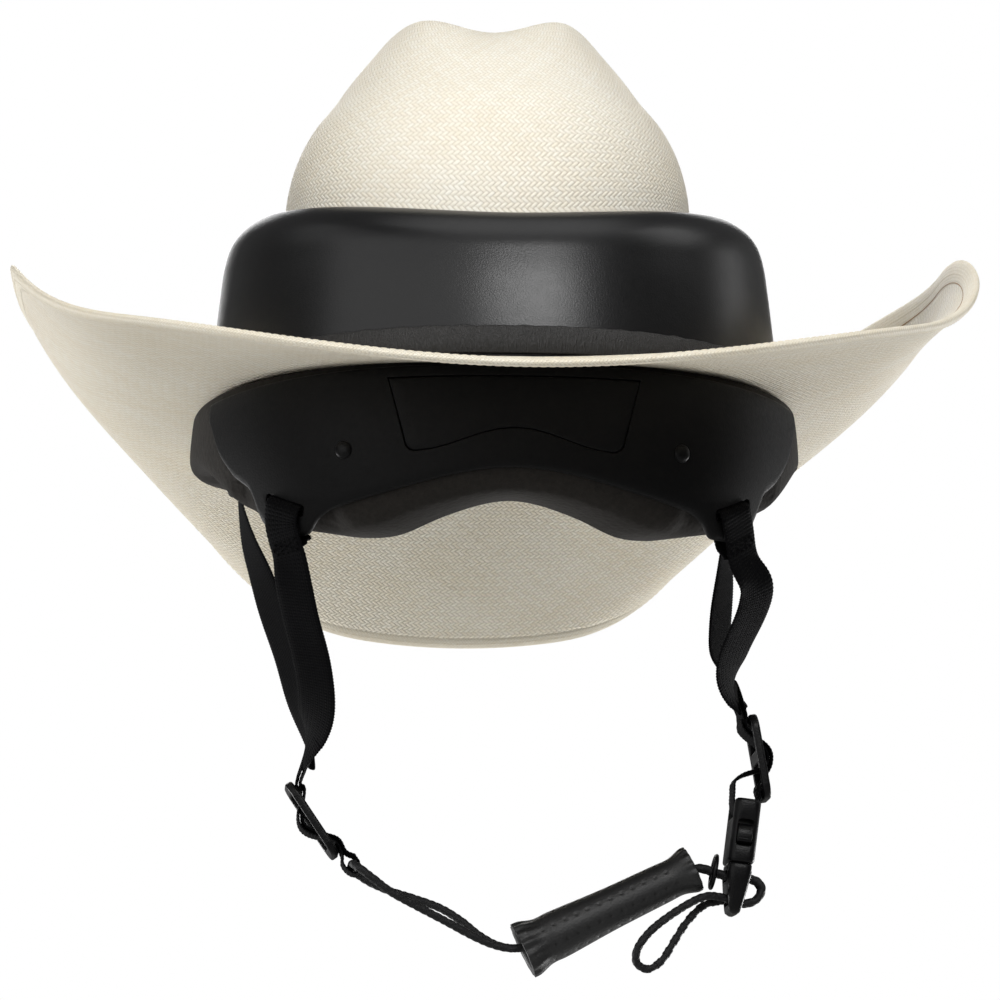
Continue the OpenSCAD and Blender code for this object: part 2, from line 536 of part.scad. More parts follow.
module plug_face() polygon([[-12, plug_top], [-12, plug_top - 5], [-8.6, plug_top - plug_length + 2],
    [-6.6, plug_top - plug_length], [6.6, plug_top - plug_length], [8.6, plug_top - plug_length + 2],
    [12, plug_top - 5], [12, plug_top]]);
lace_slot_half_y = 6.4;
upper_slot = [plug_top - 6.7, plug_top - 2.5];
lower_slot = [plug_top - 15.7, plug_top - 11.5];
module buckle_plug() color("black") in_buckle() {
    difference() {
        intersection() {
            rotate([90, 0, 0]) linear_extrude(height = 30, center = true) plug_side();
            rotate([90, 0, 90]) linear_extrude(height = 30, center = true) plug_face();
        }
        for (s = [upper_slot, lower_slot]) translate([-10, -lace_slot_half_y, s[0]])
            cube([20, 2 * lace_slot_half_y, s[1] - s[0]]);
        for (s = [-1, 1]) translate([0, s * prong_y, prong_pivot_z]) {
            rotate([0, 90, 0]) cylinder(r = prong_r + 0.15, h = 30, center = true);
            translate([-15, -1.6, 0]) cube([30, 3.2, 5]);
        }
    }
    translate([-2.2, -4, plug_top]) cube([4.4, 8, tongue_top - plug_top]);
}
// a prong: an arm with a button that looks out of the window
prong_half_x = 2.9;
module prong() {
    rotate([90, 0, 90]) translate([0, 0, -prong_half_x]) linear_extrude(height = 2 * prong_half_x) polygon([
        [7.6, prong_pivot_z], [9.9, prong_pivot_z], [9.9, window_mid - 4.4], [12.6, window_mid - 3.4],
        [13.1, window_mid - 1.2], [12.7, window_mid + 1.6], [11.6, window_mid + 3], [10.2, window_mid + 3.6],
        [8.4, window_mid + 3.6], [7.6, window_mid + 1.7]]);
    translate([0, prong_y, prong_pivot_z]) rotate([0, 90, 0]) cylinder(r = prong_r, h = 2 * prong_half_x, center = true);
}
module front_prong() color("black") in_buckle() prong();
module rear_prong() color("black") in_buckle() mirror([0, 1, 0]) prong();

// Chin pad: a leather sleeve round a foam core, on the lace; its own Z runs up to the right
pad_at = [10, harness_y, -207.6];
pad_lean = 64;
// share of the length, and the radius against the middle's
pad_outline = [[0, 2.6], [0.04, 2.5], [0.1, 1.3], [0.14, 1], [0.22, 1.1], [0.5, 0], [0.8, -0.5], [0.88, -0.7],
    [0.92, -0.3], [0.97, 0.7], [1, 0.6]];
module on_pad() translate(pad_at) rotate([0, pad_lean, 0]) children();
module chin_pad_sleeve() color([0.13, 0.13, 0.13]) on_pad() rotate_extrude() polygon(concat(
    [for (p = pad_outline) [pad_r + p[1], pad_length * p[0]]],
    [[pad_bore_r + 1.6, pad_length], [pad_bore_r + 1.6, pad_length - 2.4]],
    [for (i = [len(pad_outline) - 3 : -1 : 2]) [pad_r + pad_outline[i][1] - leather, pad_length * pad_outline[i][0]]],
    [[pad_bore_r + 1.6, 4.5], [pad_bore_r + 2.6, 0]]));
module chin_pad_core() color("gray") on_pad() rotate_extrude() polygon(concat(
    [for (i = [2 : len(pad_outline) - 3]) [pad_r + pad_outline[i][1] - leather - 0.2, pad_length * pad_outline[i][0]]],
    [[pad_bore_r, pad_length * pad_outline[len(pad_outline) - 3][0]], [pad_bore_r, pad_length * pad_outline[2][0]]]));

stopper_at = [82.5, harness_y, -177.3];
stopper_lean = 101;
module lace_stopper() color("black") translate(stopper_at) rotate([0, stopper_lean, 0]) rotate_extrude()
    polygon([[3.9, -1], [stopper_r - 1, -0.8], [stopper_r, -0.3], [stopper_r, 0.3], [stopper_r - 1, 0.8], [3.9, 1]]);

// Lace: one cord. It starts in the plug's lower slot, goes round the plug's middle bar, through the stopper
// and the chin pad to the left loop, back beside itself and round the plug again, and ends in a tail loop.
lace_route = [[90, -24, -188.6], [95, -24, -189.2], [98.8, -24, -187.6], [100.6, -24, -184.2], [99.2, -24, -181.2],
    [95.5, -24, -179.8], [90.5, -24, -179.6], [85.5, -24, -178.4], [81, -24, -176.9], [77, -24, -176],
    [72, -24, -177.3], [63.9, -24, -181.2], [47, -24, -189.5], [30, -24, -197.8], [20, -24, -202.6],
    [12.5, -24, -205.6], [6, -23.9, -206.4], [-0.5, -23.5, -204.9], [-7, -22.5, -201], [-13, -21, -196],
    [-21, -19.5, -191], [-31, -17.5, -187.2], [-40, -15, -184.2], [-47, -13, -181], [-51.5, -12.8, -178.2],
    [-54, -15, -176.4], [-54.7, -19, -175.8], [-54.7, -26, -175.8], [-54.7, -33, -175.8], [-54, -37, -176.4],
    [-51.5, -39.2, -178.4], [-47, -39, -181.8], [-40, -37, -186.8], [-31, -34.5, -191.4], [-20, -32, -196.8],
    [-9, -29.8, -202.4], [-1, -28.5, -205.6], [6, -28.1, -206.8], [12.5, -28, -205.8], [20, -28, -202.6],
    [30, -28, -197.8], [47, -28, -189.5], [63.9, -28, -181.2], [72, -28, -177.3], [77, -28, -176],
    [81, -28, -176.9], [85.5, -28, -178.4], [90.5, -28, -179.6], [95.5, -28, -179.8], [99.2, -28, -181.2],
    [100.6, -28, -184.2], [98.8, -28, -187.6], [95, -28, -189.2], [90, -28, -188.6], [85.5, -28.4, -187.2],
    [80, -30, -186.8], [74, -31.5, -189], [65, -32.5, -194.6], [57.5, -33, -200.6], [52.8, -32.6, -207],
    [52.6, -31, -212.2], [57, -29.4, -214.4], [62.4, -28, -211], [67.2, -26.6, -203.8], [72, -25.2, -196.6],
    [78, -24.2, -190.4], [83.5, -24, -188.4], [87.4, -24, -188.4]];
lace_sides = 8;
module lace() color([0.08, 0.08, 0.08]) {
    last = len(lace_route) - 1;
    loft([for (i = [0 : last]) let (
        t = unit(lace_route[min(i + 1, last)] - lace_route[max(i - 1, 0)]),
        side = unit(cross(t, abs(t.y) > 0.8 ? [1, 0, 0.6] : [0, 1, 0])), up = cross(side, t))
        [for (k = [0 : lace_sides - 1]) let (a = 360 * k / lace_sides)
            lace_route[i] + lace_d / 2 * (cos(a) * side - sin(a) * up)]]);
}

straw_crown();
straw_brim();
brim_edge();
helmet_shell();
shell_base_strip();
foam_liner();
rear_cover();
cover_insert();
cover_rivets();
brow_pad();
crown_pad();
left_side_pad();
right_side_pad();
nape_pad();
left_front_anchor();
right_front_anchor();
left_rear_strap();
right_rear_strap();
left_front_strap();
right_front_strap();
left_slider();
right_slider();
buckle_housing();
buckle_plug();
front_prong();
rear_prong();
chin_pad_sleeve();
chin_pad_core();
lace_stopper();
lace();
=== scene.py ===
import math
import bpy
import bmesh
import numpy as np
from mathutils import Matrix, Vector


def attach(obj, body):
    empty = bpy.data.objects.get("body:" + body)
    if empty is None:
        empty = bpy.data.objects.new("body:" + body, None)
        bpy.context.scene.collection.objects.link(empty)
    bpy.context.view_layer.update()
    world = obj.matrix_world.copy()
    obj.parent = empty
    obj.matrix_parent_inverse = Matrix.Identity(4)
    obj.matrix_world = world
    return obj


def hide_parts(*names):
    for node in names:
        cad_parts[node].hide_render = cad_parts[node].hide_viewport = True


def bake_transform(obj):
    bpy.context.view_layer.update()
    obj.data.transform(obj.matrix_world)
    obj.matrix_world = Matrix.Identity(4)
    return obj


# Western hat helmet. All the shapes below are worked out in millimetres, and turned into metres
# where a mesh is made. +X is the wearer's right, +Y the wearer's front, +Z up. A t is an angle in
# degrees round the hat, from the right over the front.
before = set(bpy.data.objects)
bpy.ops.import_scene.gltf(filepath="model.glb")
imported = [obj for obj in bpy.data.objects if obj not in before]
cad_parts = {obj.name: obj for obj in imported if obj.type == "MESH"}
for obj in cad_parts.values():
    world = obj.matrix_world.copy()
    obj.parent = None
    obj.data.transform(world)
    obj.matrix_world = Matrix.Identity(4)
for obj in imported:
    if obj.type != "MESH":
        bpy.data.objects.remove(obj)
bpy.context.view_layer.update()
mm = 0.001
scene = bpy.context.scene


# camera

view = {"azimuth": -3.6, "elevation": -10.5, "target": (3, 0, -30), "distance": 1700, "lens": 156.9,
        "sensor": 36, "reach": 50}


def fromBehind(azimuth, elevation):  # a direction, by degrees toward the hat's right and upward
    a = math.radians(azimuth)
    e = math.radians(elevation)
    return Vector((math.sin(a) * math.cos(e), -math.cos(a) * math.cos(e), math.sin(e)))


def makeCamera():
    back = fromBehind(view["azimuth"], view["elevation"])
    data = bpy.data.cameras.new("camera")
    data.lens = view["lens"]
    data.sensor_width = view["sensor"]
    data.clip_end = view["reach"]
    camera = bpy.data.objects.new("camera", data)
    camera.location = (Vector(view["target"]) + back * view["distance"]) * mm
    camera.rotation_euler = back.to_track_quat("Z", "Y").to_euler()
    scene.collection.objects.link(camera)
    scene.camera = camera


makeCamera()
scene.view_settings.view_transform = "Standard"
print("camera set")


# shader helpers

def linear(channel):  # a channel as it looks on a screen, 0 to 255, as the light that it stands for
    share = channel / 255
    return share / 12.92 if share < 0.04045 else ((share + 0.055) / 1.055) ** 2.4


def paint(red, green, blue):
    return linear(red), linear(green), linear(blue), 1


class Value:  # a node's output, with the usual sums
    def __init__(self, net, node, place=0):
        self.net = net
        self.node = node
        self.socket = node.outputs[place] if node.outputs else None

    def out(self, place):
        return Value(self.net, self.node, place)

    def sum(self, operation, *others):
        values = dict(enumerate((self,) + others))
        return self.net.node("ShaderNodeMath", {"operation": operation}, values)

    def flip(self, operation, other):
        return self.net.node("ShaderNodeMath", {"operation": operation}, {0: other, 1: self})

    def __add__(self, other):
        return self.sum("ADD", other)

    def __radd__(self, other):
        return self.flip("ADD", other)

    def __sub__(self, other):
        return self.sum("SUBTRACT", other)

    def __rsub__(self, other):
        return self.flip("SUBTRACT", other)

    def __mul__(self, other):
        return self.sum("MULTIPLY", other)

    def __rmul__(self, other):
        return self.flip("MULTIPLY", other)

    def __truediv__(self, other):
        return self.sum("DIVIDE", other)

    def __pow__(self, other):
        return self.sum("POWER", other)

    def __mod__(self, other):
        return self.sum("FLOORED_MODULO", other)

    def __lt__(self, other):
        return self.sum("LESS_THAN", other)

    def __gt__(self, other):
        return self.sum("GREATER_THAN", other)

    def __abs__(self):
        return self.sum("ABSOLUTE")

    def floor(self):
        return self.sum("FLOOR")

    def fraction(self):
        return self.sum("FRACT")

    def sine(self):
        return self.sum("SINE")


class Net:  # a node tree that is built by calls
    def __init__(self, tree):
        self.tree = tree
        tree.nodes.clear()

    def node(self, kind, settings=None, inputs=None):
        made = self.tree.nodes.new(kind)
        for key, value in (settings or {}).items():
            setattr(made, key, value)
        for key, value in (inputs or {}).items():
            if isinstance(value, Value):
                self.tree.links.new(value.socket, made.inputs[key])
            else:
                made.inputs[key].default_value = value
        return Value(self, made)

    def mix(self, share, first, second):  # of two colours
        inputs = {0: share, 6: first, 7: second}
        return self.node("ShaderNodeMix", {"data_type": "RGBA"}, inputs).out(2)

    def vector(self, x, y):
        return self.node("ShaderNodeCombineXYZ", None, {0: x, 1: y})

    def place(self):  # millimetres in the object
        spot = self.node("ShaderNodeTexCoord").out("Object")
        return self.node("ShaderNodeVectorMath", {"operation": "SCALE"}, {0: spot, "Scale": 1000.0})

    def along(self):  # millimetres on the surface, across and along a piece
        spot = self.node("ShaderNodeUVMap", {"uv_map": "surface"})
        parts = self.node("ShaderNodeSeparateXYZ", None, {0: spot})
        return parts, parts.out("Y")

    def noise(self, vector, scale, detail=2.0, roughness=0.5):
        inputs = {"Vector": vector, "Scale": scale, "Detail": detail, "Roughness": roughness}
        return self.node("ShaderNodeTexNoise", None, inputs).out(0)

    def cells(self, vector, scale):  # the distance from the middles of small cells
        return self.node("ShaderNodeTexVoronoi", None, {"Vector": vector, "Scale": scale}).out("Distance")

    def chance(self, x, y=0.0):  # a steady random number for a place
        settings = {"noise_dimensions": "2D"}
        return self.node("ShaderNodeTexWhiteNoise", settings, {"Vector": self.vector(x, y)}).out("Value")

    def bump(self, height, millimetres):
        inputs = {"Height": height, "Distance": millimetres * mm, "Strength": 1.0}
        return self.node("ShaderNodeBump", None, inputs)

    def surface(self, inputs):
        shader = self.node("ShaderNodeBsdfPrincipled", None, inputs)
        self.node("ShaderNodeOutputMaterial", None, {"Surface": shader})


def finish(name):  # a new material and its node tree
    material = bpy.data.materials.new(name)
    material.use_nodes = True
    return material, Net(material.node_tree)


# mesh helpers

def unit(v):
    return v / np.linalg.norm(v, axis=-1, keepdims=True)


def plan(a, b, t, power=2.3):  # an oval between an ellipse and a box, by the angle
    c = np.cos(np.radians(t))
    s = np.sin(np.radians(t))
    k = (np.abs(c) ** power + np.abs(s) ** power) ** (-1 / power)
    return np.stack(np.broadcast_arrays(a * c * k, b * s * k), -1)


def splined(points, steps):  # a smooth line through the points
    p = np.asarray(points, float)
    ends = np.concatenate([p[:1], p, p[-1:]])
    u = np.linspace(0, 1, steps, endpoint=False)[:, None]
    runs = []
    for a, b, c, d in zip(ends[:-3], ends[1:-2], ends[2:-1], ends[3:]):
        runs.append(0.5 * (2 * b + (c - a) * u + (2 * a - 5 * b + 4 * c - d) * u ** 2
                           + (3 * b - a - 3 * c + d) * u ** 3))
    return np.concatenate(runs + [p[-1:]])


def ramp(x):  # from 0 to 1 with a soft start and end
    share = np.clip(x, 0, 1)
    return share * share * (3 - 2 * share)


def lengths(line):  # how far along the line each of its points is
    return np.concatenate([[0], np.cumsum(np.linalg.norm(np.diff(line[:, :3], axis=0), axis=1))])


def capped(rows):  # rings of points, closed at both ends by their middles
    ends = [np.repeat(rows[[k]].mean(1, keepdims=True), rows.shape[1], 1) for k in (0, -1)]
    return np.concatenate([ends[0], rows, ends[1]])


def placed(points, matrix):  # from a piece's own frame to the object's, in millimetres
    turned = np.array(matrix.to_3x3())
    return points @ turned.T + np.array(matrix.translation) / mm


def resampled(line, step):  # evenly spaced along its length
    run = lengths(line)
    spots = np.linspace(0, run[-1], max(int(run[-1] / step), 2) + 1)
    return np.stack([np.interp(spots, run, line[:, k]) for k in range(line.shape[1])], 1)


class Patches:  # grids of points in millimetres, gathered into one mesh
    def __init__(self):
        self.points = []
        self.faces = []
        self.uvs = []
        self.count = 0

    def grid(self, points, uv=None, roundI=False, roundJ=False):
        n, m = points.shape[:2]
        rows = n if roundI else n - 1
        columns = m if roundJ else m - 1
        i, j = np.meshgrid(np.arange(rows), np.arange(columns), indexing="ij")
        if uv is None:
            uv = np.stack(np.meshgrid(np.arange(rows + 1.0), np.arange(columns + 1.0), indexing="ij"), -1)
        steps = [(i, j), (i + 1, j), (i + 1, j + 1), (i, j + 1)]
        corners = np.stack([self.count + (a % n) * m + b % m for a, b in steps], -1)
        self.faces.append(corners.reshape(-1, 4))
        self.uvs.append(np.stack([uv[a, b] for a, b in steps], 2).reshape(-1, 2))
        self.points.append(points.reshape(-1, 3))
        self.count += n * m
        return self

    def make(self, name, material=None, weld=True):
        mesh = bpy.data.meshes.new(name)
        points, faces = np.concatenate(self.points) * mm, np.concatenate(self.faces)
        mesh.from_pydata(points.tolist(), [], faces.tolist())
        layer = mesh.uv_layers.new(name="surface")
        layer.uv.foreach_set("vector", np.concatenate(self.uvs).astype(np.float32).ravel())
        if weld:
            welded(mesh)
        if material is not None:
            mesh.materials.append(material)
        return linked(name, mesh)


def welded(mesh):  # points on one spot become one, and all the faces look outward
    shaped = bmesh.new()
    shaped.from_mesh(mesh)
    bmesh.ops.remove_doubles(shaped, verts=shaped.verts, dist=1e-6)
    bmesh.ops.recalc_face_normals(shaped, faces=shaped.faces)
    shaped.to_mesh(mesh)
    shaped.free()


def smoothed(mesh, crease=None):  # shaded smooth, but not over edges that turn by more than the crease
    mesh.polygons.foreach_set("use_smooth", np.ones(len(mesh.polygons), bool))
    if crease is not None:
        mesh.set_sharp_from_angle(angle=math.radians(crease))


def linked(name, mesh, crease=None):
    smoothed(mesh, crease)
    piece = bpy.data.objects.new(name, mesh)
    scene.collection.objects.link(piece)
    return piece


def applied(piece, crease=None):  # its modifiers made part of its mesh
    graph = bpy.context.evaluated_depsgraph_get()
    mesh = bpy.data.meshes.new_from_object(piece.evaluated_get(graph))
    piece.modifiers.clear()
    piece.data = mesh
    smoothed(mesh, crease)


def carved(piece, tool):  # the tool's shape cut out of the piece
    cut = piece.modifiers.new("cut", "BOOLEAN")
    cut.operation = "DIFFERENCE"
    cut.object = tool
    cut.solver = "EXACT"
    applied(piece)
    bpy.data.objects.remove(tool)


mouldCrease = 45  # degrees


def softened(piece, width, angle):  # its edges that are sharper than the angle, rounded
    bevel = piece.modifiers.new("edges", "BEVEL")
    bevel.width = width * mm
    bevel.segments = 2
    bevel.limit_method = "ANGLE"
    bevel.angle_limit = math.radians(angle)
    applied(piece, mouldCrease)


def dressed(piece, material):
    piece.data.materials.clear()
    piece.data.materials.append(material)


def axes(at, x, y, z):  # a matrix from three directions and a place in millimetres
    columns = [Vector(v) for v in (x, y, z, np.asarray(at) * mm)]
    return Matrix([[c[r] for c in columns] for r in range(3)] + [[0, 0, 0, 1]])


def leaned(at, lean):  # the frame of a piece that is turned about Y
    c = math.cos(math.radians(lean))
    s = math.sin(math.radians(lean))
    return axes(at, (c, 0, -s), (0, 1, 0), (s, 0, c))


def roundedOutline(width, height, radius, steps=8):
    turns = np.radians(np.linspace(0, 90, steps))
    corners = []
    for k, (sx, sy) in enumerate([(1, 1), (-1, 1), (-1, -1), (1, -1)]):
        angle = turns + k * math.pi / 2
        centre = np.array([sx * (width / 2 - radius), sy * (height / 2 - radius)])
        corners.append(centre + radius * np.stack([np.cos(angle), np.sin(angle)], 1))
    return np.concatenate(corners)


# a plate with rounded edges: flat outlines, the first the outer one, filled and given a thickness
def plate(name, outlines, thickness, edge, matrix, low=None):  # from low up, or half to each side
    flat = bpy.data.curves.new(name, "CURVE")
    flat.dimensions = "2D"
    flat.fill_mode = "BOTH"
    flat.extrude = (thickness / 2 - edge) * mm
    flat.bevel_depth = edge * mm
    flat.bevel_resolution = 3
    flat.offset = -edge * mm
    for outline in outlines:
        spline = flat.splines.new("POLY")
        spline.points.add(len(outline) - 1)
        spline.use_cyclic_u = True
        spots = np.zeros((len(outline), 4))
        spots[:, :2] = np.asarray(outline) * mm
        spots[:, 3] = 1
        spline.points.foreach_set("co", spots.ravel())
    stand = bpy.data.objects.new(name, flat)
    scene.collection.objects.link(stand)
    mesh = bpy.data.meshes.new_from_object(stand.evaluated_get(bpy.context.evaluated_depsgraph_get()))
    bpy.data.objects.remove(stand)
    if low is not None:
        mesh.transform(Matrix.Translation((0, 0, (low + thickness / 2) * mm)))
    mesh.transform(matrix)
    welded(mesh)
    mesh.materials.clear()
    return linked(name, mesh, 35)


def prism(outline, low, high, matrix):  # a tool that is only used to cut with, from a flat outline
    tool = bmesh.new()
    rings = [[tool.verts.new((x * mm, y * mm, z * mm)) for x, y in outline] for z in (low, high)]
    tool.faces.new(rings[0][::-1])
    tool.faces.new(rings[1])
    for k in range(len(outline)):
        n = (k + 1) % len(outline)
        tool.faces.new([rings[0][k], rings[0][n], rings[1][n], rings[1][k]])
    mesh = bpy.data.meshes.new("prism")
    tool.to_mesh(mesh)
    tool.free()
    mesh.transform(matrix)
    return linked("prism", mesh, 30)


def block(low, high, matrix):  # likewise, a box between two corners
    (a, b, bottom), (c, d, top) = low, high
    return prism([(a, b), (c, b), (c, d), (a, d)], bottom, top, matrix)


def settled(piece, body, slot, *nodes):  # what it rides on, its finish, which is not used, and the nodes it stands for
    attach(piece, body)
    if nodes:
        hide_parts(*nodes)


# lamps, world and floor

studio = {"ambient": 0.09, "mirrored": 0.05, "floor": -900, "floorSize": 9000, "floorGlow": 0.72}
lamps = {  # azimuth from behind the hat toward its right, elevation, distance, size and power
    "keyRight": (10, 25, 1800, 500, 15.2),
    "keyLeft": (-42, 14, 1900, 2200, 20.5),
    "fillRight": (112, 16, 1700, 600, 1.4),
    "overhead": (10, 72, 1600, 1200, 6.8),
    "sideLeft": (-90, 42, 1700, 800, 1.2),
    "sideRight": (84, 46, 1700, 800, 3.6),
    "behindLeft": (-175, 22, 1900, 700, 5.0),
    "behindRight": (173, 22, 1900, 700, 5.0),
    "lowLeft": (-128, -18, 1700, 420, 17.0),
    "lowRight": (128, -18, 1700, 420, 19.0),
}


def shown(net):  # how much of the pale surroundings a ray sees; the black satin parts mirror only a little
    ways = net.node("ShaderNodeLightPath")
    clear = ways.out("Is Camera Ray") + ways.out("Is Transmission Ray")
    return clear + ways.out("Is Glossy Ray") * studio["mirrored"]


def makeStudio():
    world = bpy.data.worlds.new("studio")
    world.use_nodes = True
    scene.world = world
    net = Net(world.node_tree)
    strength = shown(net) * (1 - studio["ambient"]) + studio["ambient"]
    sky = net.node("ShaderNodeBackground", None, {"Color": (1, 1, 1, 1), "Strength": strength})
    net.node("ShaderNodeOutputWorld", None, {"Surface": sky})
    for name, (azimuth, elevation, distance, size, power) in lamps.items():
        at = distance * fromBehind(azimuth, elevation)
        data = bpy.data.lights.new(name, "AREA")
        data.shape = "SQUARE"
        data.size = size * mm
        data.energy = power
        lamp = bpy.data.objects.new(name, data)
        lamp.location = at * mm
        lamp.rotation_euler = at.to_track_quat("Z", "Y").to_euler()
        lamp.visible_camera = False
        scene.collection.objects.link(lamp)
    half = studio["floorSize"] / 2
    corners = np.array([[[-half, -half], [half, -half]], [[-half, half], [half, half]]], float)
    spots = np.concatenate([corners, np.full((2, 2, 1), float(studio["floor"]))], -1)
    material, net = finish("paleFloor")
    beneath = net.node("ShaderNodeNewGeometry").out("Backfacing")
    grain = net.noise(net.place(), 0.02)
    chalk = net.mix(grain, paint(186, 186, 185), paint(194, 194, 192))
    matt = net.node("ShaderNodeBsdfDiffuse", None, {"Color": chalk})
    clear = net.node("ShaderNodeBsdfTransparent")
    glow = net.node("ShaderNodeEmission", None, {"Color": paint(236, 236, 235), "Strength": 1.0})
    lit = net.node("ShaderNodeMixShader", None, {0: shown(net) * studio["floorGlow"], 1: matt, 2: glow})
    shader = net.node("ShaderNodeMixShader", None, {0: beneath, 1: lit, 2: clear})
    net.node("ShaderNodeOutputMaterial", None, {"Surface": shader})
    floor = Patches().grid(spots.transpose(1, 0, 2)).make("floor", material, weld=False)


makeStudio()
print("studio lit")


# chin lace: one braided cord

lace = {"diameter": 3.2, "step": 0.4, "sides": 20, "strands": 4, "pitch": 5.6, "relief": 0.294,
        "taper": 1.2}
laceRoute = [
    (90, -24, -188.6), (95, -24, -189.2), (98.8, -24, -187.6), (100.6, -24, -184.2), (99.2, -24, -181.2),
    (95.5, -24, -179.8), (90.5, -24, -179.6), (85.5, -24, -178.4), (81, -24, -176.9), (77, -24, -176),
    (72, -24, -177.3), (63.9, -24, -181.2), (47, -24, -189.5), (30, -24, -197.8), (20, -24, -202.6),
    (12.5, -24, -205.6), (6, -23.9, -206.4), (-0.5, -23.5, -204.9), (-7, -22.5, -201), (-13, -21, -196),
    (-21, -19.5, -191), (-31, -17.5, -187.2), (-40, -15, -184.2), (-47, -13, -181), (-51.5, -12.8, -178.2),
    (-54, -15, -176.4), (-54.7, -19, -175.8), (-54.7, -26, -175.8), (-54.7, -33, -175.8), (-54, -37, -176.4),
    (-51.5, -39.2, -178.4), (-47, -39, -181.8), (-40, -37, -186.8), (-31, -34.5, -191.4), (-20, -32, -196.8),
    (-9, -29.8, -202.4), (-1, -28.5, -205.6), (6, -28.1, -206.8), (12.5, -28, -205.8), (20, -28, -202.6),
    (30, -28, -197.8), (47, -28, -189.5), (63.9, -28, -181.2), (72, -28, -177.3), (77, -28, -176),
    (81, -28, -176.9), (85.5, -28, -178.4), (90.5, -28, -179.6), (95.5, -28, -179.8), (99.2, -28, -181.2),
    (100.6, -28, -184.2), (98.8, -28, -187.6), (95, -28, -189.2), (90, -28, -188.6), (85.5, -28.4, -187.2),
    (80, -30, -186.8), (74, -31.5, -189), (65, -32.5, -194.6), (57.5, -33, -200.6), (52.8, -32.6, -207),
    (52.6, -31, -212.2), (57, -29.4, -214.4), (62.4, -28, -211), (67.2, -26.6, -203.8), (72, -25.2, -196.6),
    (78, -24.2, -190.4), (83.5, -24, -188.4), (87.4, -24, -188.4)]


def cordFrames(line):  # directions across a line that don't spin as it bends
    tangent = unit(np.gradient(line, axis=0))
    side = np.empty_like(line)
    last = np.cross(tangent[0], (0, 1, 0))
    for k, way in enumerate(tangent):
        last = last - way * np.dot(last, way)
        last = last / np.linalg.norm(last)
        side[k] = last
    return tangent, side, np.cross(tangent, side)


def laceMaterial():
    material, net = finish("laceCord")
    u, v = net.along()
    fibre = net.noise(net.vector(u * 6, v * 1.2), 1.0, 3.0)
    fleck = net.noise(net.place(), 0.9, 2.0)
    colour = net.mix(fleck, paint(12, 12, 13), paint(27, 27, 29))
    net.surface({"Base Color": colour, "Roughness": fibre * 0.2 + 0.55, "Normal": net.bump(fibre, 0.08),
                 "Specular IOR Level": 0.3})
    return material


def makeLace():
    line = resampled(splined(laceRoute, 10), lace["step"])
    tangent, side, up = cordFrames(line)
    run = lengths(line)[:, None]
    turn = np.linspace(0, 2 * np.pi, lace["sides"], endpoint=False)[None, :]
    twist = 2 * np.pi * run / lace["pitch"]
    around = lace["strands"] * turn / 2
    braid = np.maximum(np.abs(np.sin(around + twist)) * (np.cos(around - twist) > 0),
                       np.abs(np.sin(around - twist)) * (np.cos(around + twist) < 0))
    ends = np.clip(np.minimum(run, run[-1] - run) / lace["taper"], 0, 1) ** 0.5
    radius = (lace["diameter"] / 2 - lace["relief"] * (1 - braid)) * ends
    points = (line[:, None] + radius[..., None] * (np.cos(turn)[..., None] * side[:, None]
                                                  + np.sin(turn)[..., None] * up[:, None]))
    across = np.linspace(0, np.pi * lace["diameter"], lace["sides"] + 1)[None, :]
    uv = np.stack(np.broadcast_arrays(across, run), -1)
    piece = Patches().grid(points, uv, roundJ=True).make("chinLace", laceMaterial())
    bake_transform(piece)
    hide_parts("lace")
    print("lace is", round(float(run[-1, 0]) * mm, 4), "m long")
    path = (line[::5] * mm).tolist() + [(line[-1] * mm).tolist()]
    return piece, path


lacePiece, lacePath = makeLace()


# straw: the brim, its sewn edge and the crown

# the gap colours are painted shade, laid into the low parts between the strands
straw = {"pitch": 1.45, "relief": 0.3, "gloss": 0.5,
         "light": (251, 247, 235), "warm": (243, 233, 212), "gap": (182, 166, 136)}
strawBrim = {"pitch": 1.6, "relief": 0.75, "gloss": 0.42,
             "light": (249, 243, 228), "warm": (239, 226, 199), "gap": (128, 110, 80)}
strawEdge = {"pitch": 1.0, "relief": 0.25, "gloss": 0.42,
             "light": (249, 243, 227), "warm": (239, 227, 201), "gap": (178, 160, 128)}
brim = {"halfWidth": 197, "front": 238, "rear": 231, "thickness": 2.2, "rollStart": 125, "rollRight": 110,
        "rollLeft": 78, "rollSpan": 105, "foldFront": 0.63, "foldRear": -0.18, "foldReach": 225,
        "sideLift": 18, "frontDroop": 26, "rearDroop": 14.2, "hem": 8, "hemThickness": 3.1, "tuck": 0.6,
        "settle": 2.3, "wave": 0.5}
band = {"halfWidth": 111, "halfLength": 130, "wall": 2.5, "dip": 16.5}
diagonal = 0.7071  # the strands run at 45 degrees to the piece


